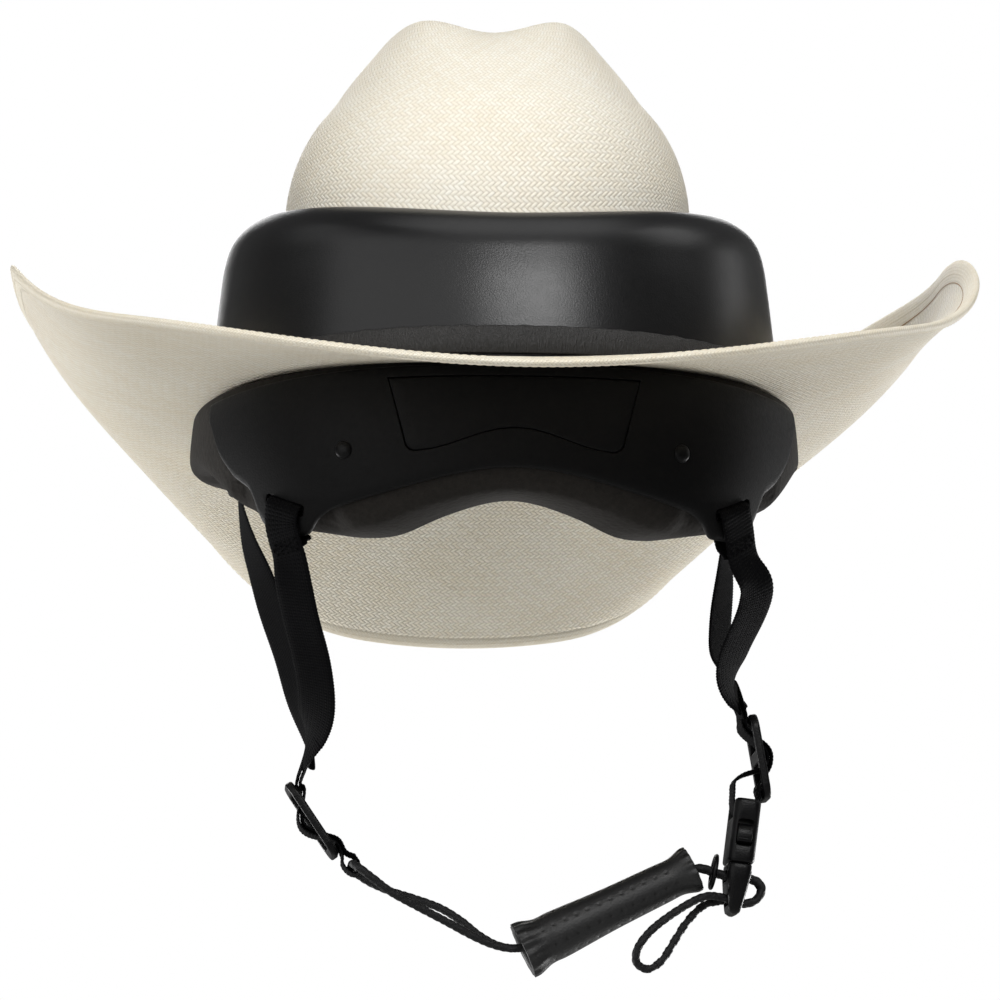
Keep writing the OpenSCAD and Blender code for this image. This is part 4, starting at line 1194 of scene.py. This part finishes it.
def puffed(piece, pinned):  # the cloth between the pinned seams swells
    before = np.empty(len(piece.data.vertices) * 3)
    piece.data.vertices.foreach_get("co", before)
    group = piece.vertex_groups.new(name="seams")
    group.add(pinned, 1.0, "REPLACE")
    cloth = piece.modifiers.new("cloth", "CLOTH")
    cloth.settings.quality = 6
    cloth.settings.mass = 0.15
    cloth.settings.effector_weights.gravity = 0
    cloth.settings.use_pressure = True
    cloth.settings.uniform_pressure_force = padCloth["pressure"]
    cloth.settings.vertex_group_mass = "seams"
    cloth.settings.tension_stiffness = 20
    cloth.settings.compression_stiffness = 12
    cloth.collision_settings.use_collision = False
    cloth.point_cache.frame_start = 1
    cloth.point_cache.frame_end = padCloth["frames"]
    for number in range(1, padCloth["frames"] + 1):
        scene.frame_set(number)
    after = np.empty_like(before)
    shown = piece.evaluated_get(bpy.context.evaluated_depsgraph_get())
    shown.data.vertices.foreach_get("co", after)
    move = (after - before).reshape(-1, 3)
    size = np.linalg.norm(move, axis=1, keepdims=True)
    move *= np.minimum(1, padCloth["mostSwell"] * mm / np.maximum(size, 1e-9))
    piece.modifiers.clear()
    piece.vertex_groups.clear()
    piece.data.vertices.foreach_set("co", before + move.ravel())
    piece.data.update()
    scene.frame_set(1)
    print(piece.name, "swelled by up to", round(float(size.max()) / mm, 2), "mm")


# a pad lies on a face that is given by two shares from -1 to 1; channels are seams across it
def makePad(name, node, face, size, steps, channels):
    n, m = steps
    u, v = np.meshgrid(np.linspace(-1, 1, n + 1), np.linspace(-1, 1, m + 1), indexing="ij")
    wide = u * np.sqrt(1 - 0.13 * v ** 6)
    tall = v * np.sqrt(1 - 0.13 * u ** 6)
    rim = np.maximum(np.abs(u), np.abs(v))
    crowned = 0.42 + 0.5 * np.sqrt(np.clip((1 - u ** 4) * (1 - v ** 4), 0, 1))
    seam = np.exp(-((rim - 0.84) / 0.035) ** 2)
    for spot in channels:
        seam = np.maximum(seam, np.exp(-((u - spot) / 0.03) ** 2) * (rim < 0.84))
    high = np.where(rim > 0.999, 1.2, padCloth["thickness"] * crowned - 1.1 * seam)
    front = face(wide, tall, padCloth["gap"] + high)
    back = face(wide, tall, np.full_like(high, padCloth["gap"]))
    uv = np.stack([u * size[0] / 2, v * size[1] / 2], -1)
    patches = Patches().grid(front, uv)
    patches.grid(back, uv)
    for edge in (lambda g: g[0], lambda g: g[-1], lambda g: g[:, 0], lambda g: g[:, -1]):
        patches.grid(np.stack([edge(front), edge(back)]), np.stack([edge(uv), edge(uv) + 3], 0))
    piece = patches.make(name, padLook)
    loose = {tuple(np.round(p, 6)) for p in front[(rim < 0.82) & (seam < 0.3)] * mm}
    spots = np.array([vertex.co for vertex in piece.data.vertices])
    puffed(piece, [k for k, p in enumerate(spots) if tuple(np.round(p, 6)) not in loose])
    smooth = piece.modifiers.new("smooth", "SUBSURF")
    smooth.levels = 1
    applied(piece)
    settled(piece, "helmet", "pad_cloth", node)


def wallFace(middle, half, low, high):  # on the wall of the head space, by degrees and heights
    def face(u, v, inward):
        return cavityPoint(middle + half * u, (low + high) / 2 + (high - low) / 2 * v, inward)
    return face


def domeFace(reach):  # on its dome, around the top
    def face(u, v, inward):
        share = reach * np.sqrt(u ** 2 * (1 - v ** 2 / 2) + v ** 2 * (1 - u ** 2 / 2))
        turn = np.arctan2(v * np.sqrt(1 - u ** 2 / 2), u * np.sqrt(1 - v ** 2 / 2))
        flat = plan(foam["cavityWidth"] * share, foam["cavityLength"] * share, np.degrees(turn), 2.1)
        z = foam["cavityHeight"] * np.sqrt(1 - share ** 2) - inward
        return np.concatenate([flat, z[..., None]], -1)
    return face


def makePads():
    makePad("browPad", "brow_pad", wallFace(90, 46, -2, 30), (150, 32), (72, 18), (-0.42, 0, 0.42))
    makePad("leftSidePad", "left_side_pad", wallFace(180, 30, -11, 26), (105, 37), (50, 20), (-0.3, 0.3))
    makePad("rightSidePad", "right_side_pad", wallFace(0, 30, -11, 26), (105, 37), (50, 20), (-0.3, 0.3))
    makePad("napePad", "nape_pad", wallFace(270, 40, -42, -8), (118, 34), (60, 18), (-0.5, 0, 0.5))
    makePad("crownPad", "crown_pad", domeFace(0.49), (80, 98), (40, 44), (-0.3, 0.3))


makePads()
print("pads stitched")


# webbing straps

# the webbing's light colour is a painted highlight on the ribs' tops
webbing = {"width": 16, "thickness": 1.2, "rib": 1.35, "column": 0.95, "step": 0.27, "relief": 0.16,
           "dark": (5, 5, 6), "light": (17, 17, 19)}
boxThread = {"length": 1.7, "gap": 0.6, "radius": 0.2, "sunk": 0.3, "half": 6}
# the turn through the cover's slot: outward, downward, and its share of the hanging tilt
slotTurn = [(-0.6, 17.5, 1), (-1.4, 15.2, 0.85), (-4.4, 11.8, 0.5), (-4.4, 1.4, 0), (-3.1, -0.9, 0),
            (-0.2, -0.9, 0), (1, 1.2, 0), (1, 5, 0.12), (1, 9, 0.35), (1, 13, 0.65), (1, 17.5, 1)]
# the hanging runs: x, y, z, and the way that the strap's width points, in degrees seen from above
leftRear = [(-79, -97, -78, -34), (-76, -87, -90, -36), (-71.5, -74, -104, -33), (-69, -60, -118, -42),
            (-70.5, -43, -128, -70), (-73, -31, -135.5, -86)]
rightRear = [(92.3, -89.5, -76, 38), (93, -84, -81.5, 42), (90.8, -74, -89, 46), (87.6, -61, -97, 52),
             (86.8, -50, -103.5, 60), (88, -42, -108, 72), (90.3, -32, -112, 86)]
leftFront = [(-98, 34, -19.8, -90), (-98, 33.5, -27.2, -87), (-95, 30.5, -42, -72), (-90.5, 26, -55, -62),
             (-85.2, 17, -72, -56), (-79, 6, -91, -56), (-74.6, -7, -110, -62), (-70, -18, -127, -78),
             (-69.8, -23.5, -134, -88)]
rightFront = [(98, 34, -19.8, 90), (98, 33.5, -27.2, 87), (95.6, 30.5, -40, 74), (94, 24, -55, 62),
              (90.3, 12, -76, 56), (88.4, 1, -92, 62), (90.4, -11, -102, 76), (93, -20, -109, 89)]
leftSlider = {"at": (-70, -26, -159), "lean": -34}
rightSlider = {"at": (99.8, -26, -134), "lean": -9.5}
buckleAt = {"at": (95, -26, -150.5), "lean": 7.5}
near, far = 2.4, 4.1  # how far from a slider's middle its two layers of webbing lie
loopMiddle = (near + far) / 2
# the weaves and loops: height and outward in a slider's own frame, and x and height in the buckle's
nearWeave = [(18, near + 4.1), (14, near), (11, near), (3, -far), (-3, -far), (-11, near), (-17, near)]
farWeave = [(18, far + 5.2), (14, far), (11, far), (3, -near), (-3, -near), (-11, far), (-17, far)]
leftLoop = [(-20, loopMiddle - 2.6), (-23, loopMiddle - 2.6), (-25.4, loopMiddle - 1.5), (-26.2, loopMiddle),
            (-25.4, loopMiddle + 1.5), (-23, loopMiddle + 2.6), (-21, loopMiddle + 2.6)]
rightRearWeave = [(17, far), (11, far), (3, -near), (-2.6, -near - 0.2), (-4.1, -1.4), (-4.4, 0.6), (-4.8, 3)]
rightFrontWeave = [(17, near), (11, near), (3, -far), (-3, -far), (-8, -0.6), (-11, near), (-15, near)]
rightLoop = [(-5.4, 2.5), (-5, -1.5), (-3.4, -4.6), (0, -5.2), (3.4, -4.6), (4.1, -2.4)]


def inFrame(place, x, z):
    c, s = math.cos(math.radians(place["lean"])), math.sin(math.radians(place["lean"]))
    at = np.array(place["at"], float)
    return at + (x * c + z * s, 0, -x * s + z * c)


def atSlot(side, drift, hang):  # from the slot's tilt to the drift and the tilt that the strap hangs with
    at, along, down, outward = coverFrame(270 + side * strapSlot["fromRear"], strapSlot["z"])
    stations = []
    for out, fall, share in slotTurn:
        tilt = math.radians(strapSlot["tilt"] + (hang - strapSlot["tilt"]) * share)
        shift = drift * share - math.tan(math.radians(strapSlot["tilt"])) * fall * (1 - share)
        point = at + out * outward + fall * down + shift * along
        stations.append(np.append(point, -side * (math.cos(tilt) * along + math.sin(tilt) * down)))
    return stations


def freeRun(route):  # stations of a place and a width direction
    table = splined(route, 3)
    turn = np.radians(table[:, 3])
    return list(np.stack([*table[:, :3].T, np.cos(turn), np.sin(turn), 0 * turn], 1))


def woven(path, place, flip, across):  # through a slider
    return [np.append(inFrame(place, flip * out, z), across) for z, out in path]


def webbingMaterial():
    material, net = finish("ribbedWebbing")
    u, v = net.along()
    column = (u / webbing["column"]).floor()
    shift = column % 2
    lump = abs((v * (math.pi / webbing["rib"]) + shift * (math.pi / 2)).sine())
    bead = abs((u * (math.pi / webbing["column"])).sine())
    height = lump ** 0.6 * bead ** 0.5
    fibre = net.noise(net.vector(u * 4, v * 1.5), 1.0, 3.0)
    # painted highlight and shade: the ribs' tops are lighter and the hollows between them darker, with the
    # fibre's own uneven tone mixed in
    colour = net.mix(height * 0.5 + fibre * 0.4, paint(*webbing["dark"]), paint(*webbing["light"]))
    net.surface({"Base Color": colour, "Roughness": 0.72 + fibre * 0.2,
                 "Normal": net.bump(height + fibre * 0.25, 0.14), "Specular IOR Level": 0.06})
    return material


webbingLook = webbingMaterial()


def relaxed(line, low, high):  # its bends eased between two lengths along it
    run = lengths(line)
    share = np.clip((run - low) / 6, 0, 1) * np.clip((high - run) / 6, 0, 1)
    wide = np.ones(31) / 31
    for _ in range(3):
        padded = np.concatenate([np.repeat(line[:1], 15, 0), line, np.repeat(line[-1:], 15, 0)])
        blurred = np.stack([np.convolve(padded[:, k], wide, "valid") for k in range(line.shape[1])], 1)
        line = line + share[:, None] * (blurred - line)
    return line


def sewnBox(patches, line, across, up, low, high):  # a sewn box with a cross in it, on both faces
    run = lengths(line)
    half = boxThread["half"]
    corners = [(-half, low), (half, low), (half, high), (-half, high), (-half, low), (half, high),
               (half, low), (-half, high)]
    for (xa, va), (xb, vb) in zip(corners, corners[1:]):
        share = np.linspace(0, 1, 6)
        xs, vs = xa + (xb - xa) * share, va + (vb - va) * share
        row = np.clip(np.searchsorted(run, vs), 0, len(run) - 1)
        for side in (1, -1):
            normal = side * up[row]
            seam = line[row, :3] + xs[:, None] * across[row] + normal * webbing["thickness"] / 2
            stitches(patches, seam, normal, boxThread)


def strap(name, node, stations, sewn, free, parts):  # cut into pieces at the given lengths, where the body in the parts list changes
    line = relaxed(resampled(splined(np.array(stations), 8), webbing["step"]), *free)
    tangent = unit(np.gradient(line[:, :3], axis=0))
    up = unit(np.cross(tangent, line[:, 3:]))
    across = np.cross(up, tangent)
    run = lengths(line)
    spots = np.sin(np.linspace(-1, 1, 13) * np.pi / 2)
    thin = webbing["thickness"] / 2 * (1 - np.abs(spots) ** 8) ** 0.5
    rib = webbing["relief"] * (np.abs(np.sin(np.pi * run / webbing["rib"]))[:, None] - 1)
    half = webbing["width"] / 2
    edge = 0.12 * (np.sin(2 * np.pi * run / webbing["rib"])[:, None] - 1)
    top = np.maximum(thin + rib * (thin > 0.2), 0)
    wide = spots * half + edge * np.sign(spots) * (np.abs(spots) > 0.95)
    spine = line[:, None, :3] + wide[..., None] * across[:, None]
    upper = spine + top[..., None] * up[:, None]
    lower = (spine - top[..., None] * up[:, None])[:, ::-1]
    points = np.concatenate([upper, lower], 1)
    places = np.concatenate([spots * half, spots[::-1] * half, spots[:1] * half])
    first = 0
    for word, cut, before, after, start, end in parts:
        last = min(int(np.searchsorted(run, cut)), len(run) - 1)
        rows = np.concatenate([run[[first]], run[first:last + 1], run[[last]]])
        uv = np.stack(np.broadcast_arrays(places[None, :], rows[:, None]), -1)
        patches = Patches().grid(capped(points[first:last + 1]), uv, roundJ=True)
        for low, high in sewn if first == 0 else []:
            sewnBox(patches, line, across, up, low, high)
        piece = patches.make(name + word, webbingLook)
        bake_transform(piece)
        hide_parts(node)
        first = last


# a strap's pieces: the hanging run, the weave in the slider and the tail below it
def strapParts(place, body, swing, cuts, tail):
    above = [tuple(inFrame(place, 0, z) * mm) for z in (42, 21.7)]
    return [("Strap", cuts[0], "helmet", "harness", *swing), ("Weave", cuts[1], "harness", body, *above),
            ("Tail", 1000, body, "harness", *tail)]


def makeStraps():
    left = (0, -1, 0)  # the way that a strap's width points in a slider
    right = (0, 1, 0)
    tie = (-20, loopMiddle + 2.6), (-20.7, loopMiddle + 2.6)
    leftTail = (-0.0625, -0.026, -0.166), (-0.0575, -0.026, -0.1735)
    strap("leftRear", "left_rear_strap",
          atSlot(-1, -0.5, 6) + freeRun(leftRear) + woven(nearWeave + leftLoop, leftSlider, 1, left),
          [(1.5, 4), (39, 43)], (32, 128),
          strapParts(leftSlider, "left_slider", ((-0.082, -0.103, -0.066), (-0.0739, -0.081, -0.0964)),
                     (86, 168), leftTail))
    strap("leftFront", "left_front_strap",
          freeRun(leftFront) + woven(farWeave + list(tie), leftSlider, 1, left), [], (6, 128),
          strapParts(leftSlider, "left_slider", ((-0.098, 0.034, -0.024), (-0.0778, 0.0028, -0.0958)),
                     (96, 158), leftTail))
    strap("rightRear", "right_rear_strap",
          atSlot(1, -9, 16) + freeRun(rightRear) + woven(rightRearWeave, rightSlider, -1, right)
          + [np.array([93.6, -26, -140.6, *right]), np.array([90.4, -26, -143.2, *right])]
          + [np.append(inFrame(buckleAt, x, z), right) for x, z in rightLoop],
          [(1.5, 4), (39, 43)], (32, 118),
          strapParts(rightSlider, "right_slider", ((0.086, -0.102, -0.066), (0.0911, -0.0753, -0.088)),
                     (83, 156), ((0.0965, -0.026, -0.1395), (0.090, -0.026, -0.145))))
    strap("rightFront", "right_front_strap",
          freeRun(rightFront) + woven(rightFrontWeave, rightSlider, -1, right)
          + [np.append(inFrame(buckleAt, 4.2, -1.6), right)], [], (6, 104),
          strapParts(rightSlider, "right_slider", ((0.098, 0.034, -0.024), (0.0889, 0.006, -0.0855)),
                     (82, 140), ((0.1025, -0.026, -0.1405), (0.0996, -0.026, -0.150))))


makeStraps()
print("straps woven")


# sliders, buckle and prongs

slider = {"width": 23, "height": 33, "thickness": 3, "corner": 6, "bar": 2.4, "slot": 9.6}
prong = {"y": 8.75, "root": -25.8, "thickness": 5.8, "ribs": 3, "ribPitch": 1.9}
buckle = {"width": 25, "thickness": 10, "length": 24.5, "wall": 1.6, "gap": 0.2, "slotTop": -3,
          "slotFoot": -7.5, "barHalf": 2.5, "pocketTop": -9.2, "pocketHalf": 3.4,
          "windowWidth": 6.4, "windowHeight": 10.4, "windowZ": -13.2}
plugTop = -buckle["length"] - buckle["gap"]


def standing(matrix):  # a flat outline's X and Y become the piece's Y and Z
    return matrix @ Matrix(((0, 0, 1, 0), (1, 0, 0, 0), (0, 1, 0, 0), (0, 0, 0, 1)))


def makeSlider(name, node, place):
    holes = []
    for side in (-1, 1):
        hole = roundedOutline(webbing["width"] + 1, slider["slot"], 1.2, 5)
        holes.append((hole + (0, side * (slider["bar"] + slider["slot"] / 2)))[::-1])
    outline = roundedOutline(slider["width"], slider["height"], slider["corner"], 12)
    matrix = standing(leaned(place["at"], place["lean"]))
    piece = plate(name, [outline] + holes, slider["thickness"], 0.8, matrix)
    dressed(piece, plasticLook)
    settled(piece, node, "buckle_plastic", node)


def makeHousing():
    frameOf = leaned(buckleAt["at"], buckleAt["lean"])
    outline = roundedOutline(buckle["thickness"], buckle["width"], 3, 8)
    piece = plate("buckleHousing", [outline], buckle["length"], 1.5, frameOf, low=-buckle["length"])
    reach, half = buckle["thickness"], webbing["width"] / 2 + 0.6
    slot = (-reach, -half, buckle["slotFoot"]), (reach, half, buckle["slotTop"])
    carved(piece, block(*slot, frameOf))
    for side in (-1, 1):  # the faces are cut back beside the bar, for the webbing that goes round it
        low, high = sorted((side * buckle["barHalf"], side * (buckle["barHalf"] + reach)))
        carved(piece, block((low, -half, -6), (high, half, 6), frameOf))
    deep, thin = buckle["width"] / 2 - buckle["wall"], buckle["pocketHalf"]
    pocket = (-thin, -deep, -buckle["length"] - 1), (thin, deep, buckle["pocketTop"])
    carved(piece, block(*pocket, frameOf))
    window = roundedOutline(buckle["windowWidth"], buckle["windowHeight"], 1.6, 6)
    across = frameOf @ axes((0, 0, buckle["windowZ"]), (1, 0, 0), (0, 0, 1), (0, -1, 0))
    carved(piece, prism(window, -25, 25, across))
    softened(piece, 0.3, 45)
    dressed(piece, plasticLook)
    settled(piece, "harness", "buckle_plastic", "buckle_housing")


def makePlug():
    frameOf = leaned(buckleAt["at"], buckleAt["lean"])
    # half its thickness and half its width by the way down from its top, with the edges taken in
    side = np.array([(0, 4.6), (3.5, 4.6), (11, 3.5), (18, 2.2), (19, 1.0)])
    face = np.array([(0, 12), (5, 12), (17, 8.6), (19, 6.6)])
    drops = np.array([0, 0.15, 0.6, 2, 4, 6, 8, 10, 12, 14, 16, 17, 18, 18.6, 18.95])
    inset = np.array([0.7, 0.3, 0] + [0] * 9 + [0.1, 0.4, 0.8])
    half = np.interp(drops, side[:, 0], side[:, 1]) - inset * 0.6
    wide = np.interp(drops, face[:, 0], face[:, 1]) - inset
    rings = []
    for drop, x, y in zip(drops, half, wide):
        ring = roundedOutline(2 * x, 2 * y, x * 0.6, 6)
        rings.append(np.concatenate([ring, np.full((len(ring), 1), plugTop - drop)], 1))
    local = np.array(rings)
    local = np.concatenate([local[:1] * (0, 0, 1), local, local[-1:] * (0, 0, 1)])
    piece = Patches().grid(placed(local, frameOf), roundJ=True).make("bucklePlug")
    for low, high in ((-31.4, -27.2), (-40.4, -36.2)):  # the slots for the lace
        carved(piece, block((-10, -6.4, low), (10, 6.4, high), frameOf))
    for sign in (-1, 1):  # the room for the prongs' roots
        root = sign * prong["y"]
        carved(piece, block((-15, root - 1.6, -27.1), (15, root + 1.6, -20), frameOf))
    softened(piece, 0.35, 45)
    joined(piece, plate("tongue", [roundedOutline(4.4, 8, 1.2, 5)], 14, 0.5, frameOf, low=-24.9))
    dressed(piece, plasticLook)
    settled(piece, "chin_line", "buckle_plastic", "buckle_plug")


def joined(piece, other):  # the other's mesh made part of the piece's
    whole = bmesh.new()
    whole.from_mesh(piece.data)
    whole.from_mesh(other.data)
    whole.to_mesh(piece.data)
    whole.free()
    bpy.data.objects.remove(other)
    smoothed(piece.data, mouldCrease)


prongOutline = [(7.6, -25.8), (9.9, -25.8), (9.9, -17.6), (12.6, -16.6), (13.1, -14.4), (12.7, -11.6),
                (11.6, -10.2), (10.2, -9.6), (8.4, -9.6), (7.6, -11.5)]


def makeProng(name, node, sign):
    frameOf = leaned(buckleAt["at"], buckleAt["lean"])
    outline = [(sign * y, z) for y, z in prongOutline]
    arm = plate(name, [outline[::sign]], prong["thickness"], 0.45, standing(frameOf))
    patches = Patches()
    pin = frameOf @ axes((0, sign * prong["y"], prong["root"]), (0, 1, 0), (0, 0, 1), (1, 0, 0))
    lathe(patches, [(0, -2.9), (1, -2.9), (1.2, -2.7), (1.2, 2.7), (1, 2.9), (0, 2.9)], 24, pin)
    for k in range(prong["ribs"]):  # grip ribs on the button
        z = -15.6 + prong["ribPitch"] * k
        rib = frameOf @ axes((0, sign * (12.75 - 0.12 * k), z), (0, 0, 1), (0, sign, 0), (1, 0, 0))
        lathe(patches, [(0, -2.2), (0.3, -2.1), (0.36, -1.6), (0.36, 1.6), (0.3, 2.1), (0, 2.2)], 12, rib)
    joined(arm, patches.make("pin"))
    dressed(arm, plasticLook)
    settled(arm, node, "buckle_plastic", node)


makeSlider("leftSlider", "left_slider", leftSlider)
makeSlider("rightSlider", "right_slider", rightSlider)
makeHousing()
makePlug()
makeProng("frontProng", "front_prong", 1)
makeProng("rearProng", "rear_prong", -1)
print("buckle assembled")


# chin pad and stopper

chinPad = {"at": (10, -26, -207.6), "lean": 64, "length": 72, "radius": 8.2, "bore": 4.2,
           "rows": 8, "pitch": 4.7, "hole": 0.55, "holesFrom": 9, "holesTo": 64,
           "dark": (12, 12, 12), "light": (26, 26, 27)}
rowWidth = 2 * math.pi * chinPad["radius"] / chinPad["rows"]
# the pad's swelling: a share of its length, and how far it stands out past its radius
padOutline = [(0, 2.6), (0.04, 2.5), (0.1, 1.3), (0.14, 1), (0.22, 1.1), (0.5, 0), (0.8, -0.5), (0.88, -0.7),
              (0.92, -0.3), (0.97, 0.7), (1, 0.6)]


def leatherMaterial():
    material, net = finish("perforatedLeather")
    u, v = net.along()
    spot = net.vector(u, v)
    pebble = net.cells(spot, 1.25)
    fine = net.noise(spot, 2.5, 3.0)
    row = (u / rowWidth).floor()
    across = ((u / rowWidth).fraction() - 0.5) * rowWidth
    down = (((v / chinPad["pitch"]) + (row % 2) * 0.5).fraction() - 0.5) * chinPad["pitch"]
    reach = (across ** 2 + down ** 2) ** 0.5
    inside = (v > chinPad["holesFrom"]) * (v < chinPad["holesTo"])
    hole = (reach < chinPad["hole"]) * inside
    colour = net.mix(pebble * 0.6 + fine * 0.3, paint(*chinPad["dark"]), paint(*chinPad["light"]))
    # painted shade: the perforations are near-black spots, for the shade inside the holes
    colour = net.mix(hole, colour, paint(4, 4, 4))
    height = pebble * 0.5 + fine * 0.3 - hole * 1.5
    net.surface({"Base Color": colour, "Roughness": 0.42 + fine * 0.2, "Normal": net.bump(height, 0.15)})
    return material


def hoops(turn, pairs):  # rings of the given radii and heights, in the pad's own frame
    return np.array([np.stack([r * np.cos(turn), r * np.sin(turn), 0 * turn + z], -1) for r, z in pairs])


def makeChinPad():
    frameOf = leaned(chinPad["at"], chinPad["lean"])
    bore, length = chinPad["bore"], chinPad["length"]
    heights = np.linspace(0, 1, 221)
    table = splined(padOutline, 6)
    radius = chinPad["radius"] + np.interp(heights, table[:, 0], table[:, 1])
    turn = np.linspace(0, 2 * np.pi, 160, endpoint=False)
    run = heights * length
    gathers = np.exp(-(heights / 0.09) ** 2) + 0.7 * np.exp(-((1 - heights) / 0.05) ** 2)
    fold = 0.38 * np.sin(14 * turn + 0.6 * np.sin(3 * turn)) * gathers[:, None]
    across = turn[None, :] * chinPad["radius"]
    row = np.floor(across / rowWidth)
    a = (across / rowWidth % 1 - 0.5) * rowWidth
    d = ((run[:, None] / chinPad["pitch"] + row % 2 * 0.5) % 1 - 0.5) * chinPad["pitch"]
    holes = (run > chinPad["holesFrom"]) & (run < chinPad["holesTo"])
    dimple = 0.3 * np.exp(-(a ** 2 + d ** 2) / 0.5) * holes[:, None]
    swelling = radius[:, None] + fold - 0.15 - dimple
    spots = np.stack([swelling * np.cos(turn), swelling * np.sin(turn),
                      np.repeat(run[:, None], len(turn), 1)], -1)
    base = hoops(turn, [(bore + 1.6, 4.5), (bore + 1.8, 2), (bore + 2.8, 0.3), (8.2, 0), (9.6, 0.05)])
    mouth = hoops(turn, [(8.0, length - 0.1), (6.6, length), (bore + 1.6, length - 0.4),
                         (bore + 1.6, length - 2.4)])
    points = placed(np.concatenate([base, spots, mouth]), frameOf)
    climb = np.concatenate([[-8, -6, -4, -2, -1], run, [73, 74, 75, 77]])
    around = np.append(turn, 2 * np.pi) * chinPad["radius"]
    uv = np.stack(np.broadcast_arrays(around[None, :], climb[:, None]), -1)
    piece = Patches().grid(points, uv, roundJ=True).make("chinPadSleeve", leatherMaterial())
    settled(piece, "chin_pad", "pad_leather", "chin_pad_sleeve")
    core = [(bore, 7.4), (6.8, 7.2), (7.6, 8), (7.4, 20), (6.7, 36), (6.2, 58), (6.2, 65.8), (5.4, 66.4),
            (bore, 66.2)]
    made = lathe(Patches(), core, 48, frameOf, closed=True).make("chinPadCore", foamLook)
    settled(made, "chin_pad", "foam", "chin_pad_core")


stopper = {"at": (82.5, -26, -177.3), "lean": 101}


def makeStopper():
    half = [(3.9, 0.8), (4.1, 1), (5.6, 0.95), (6.5, 0.75), (6.9, 0.4)]
    profile = [(r, -z) for r, z in half] + [(7, 0)] + half[::-1]
    patches = lathe(Patches(), profile, 56, leaned(stopper["at"], stopper["lean"]), closed=True)
    settled(patches.make("laceStopper", plasticLook), "lace_stopper", "buckle_plastic", "lace_stopper")


anchorPlate = {"at": (98, 34, -22.2), "width": 10, "length": 26, "height": 3, "corner": 4.9}


def makeAnchor(name, node, side):  # the slotted plate that a front strap hangs from
    x, y, z = anchorPlate["at"]
    high = anchorPlate["height"]
    rings = []
    for less, climb in ((2.2, 0), (1.1, 0.25), (0.4, 0.8), (0, 1.6), (0, high - 0.4), (0.3, high)):
        ring = roundedOutline(anchorPlate["width"] - 2 * less, anchorPlate["length"] - 2 * less,
                              anchorPlate["corner"] - less, 8)
        rings.append(np.concatenate([ring + (side * x, y), np.full((len(ring), 1), z + climb)], 1))
    piece = Patches().grid(capped(np.array(rings)), roundJ=True).make(name)
    half = webbing["width"] / 2 + 0.4
    place = axes((side * x, y, z), (1, 0, 0), (0, 1, 0), (0, 0, 1))
    carved(piece, block((-1.4, -half, -1), (1.4, half, high + 1), place))
    softened(piece, 0.2, 50)
    dressed(piece, plasticLook)
    settled(piece, "helmet", "buckle_plastic", node)


makeChinPad()
makeStopper()
makeAnchor("leftAnchor", "left_front_anchor", -1)
makeAnchor("rightAnchor", "right_front_anchor", 1)
print("chin pad done")


def corners(box):
    return [[float(x) for x in corner] for corner in box]
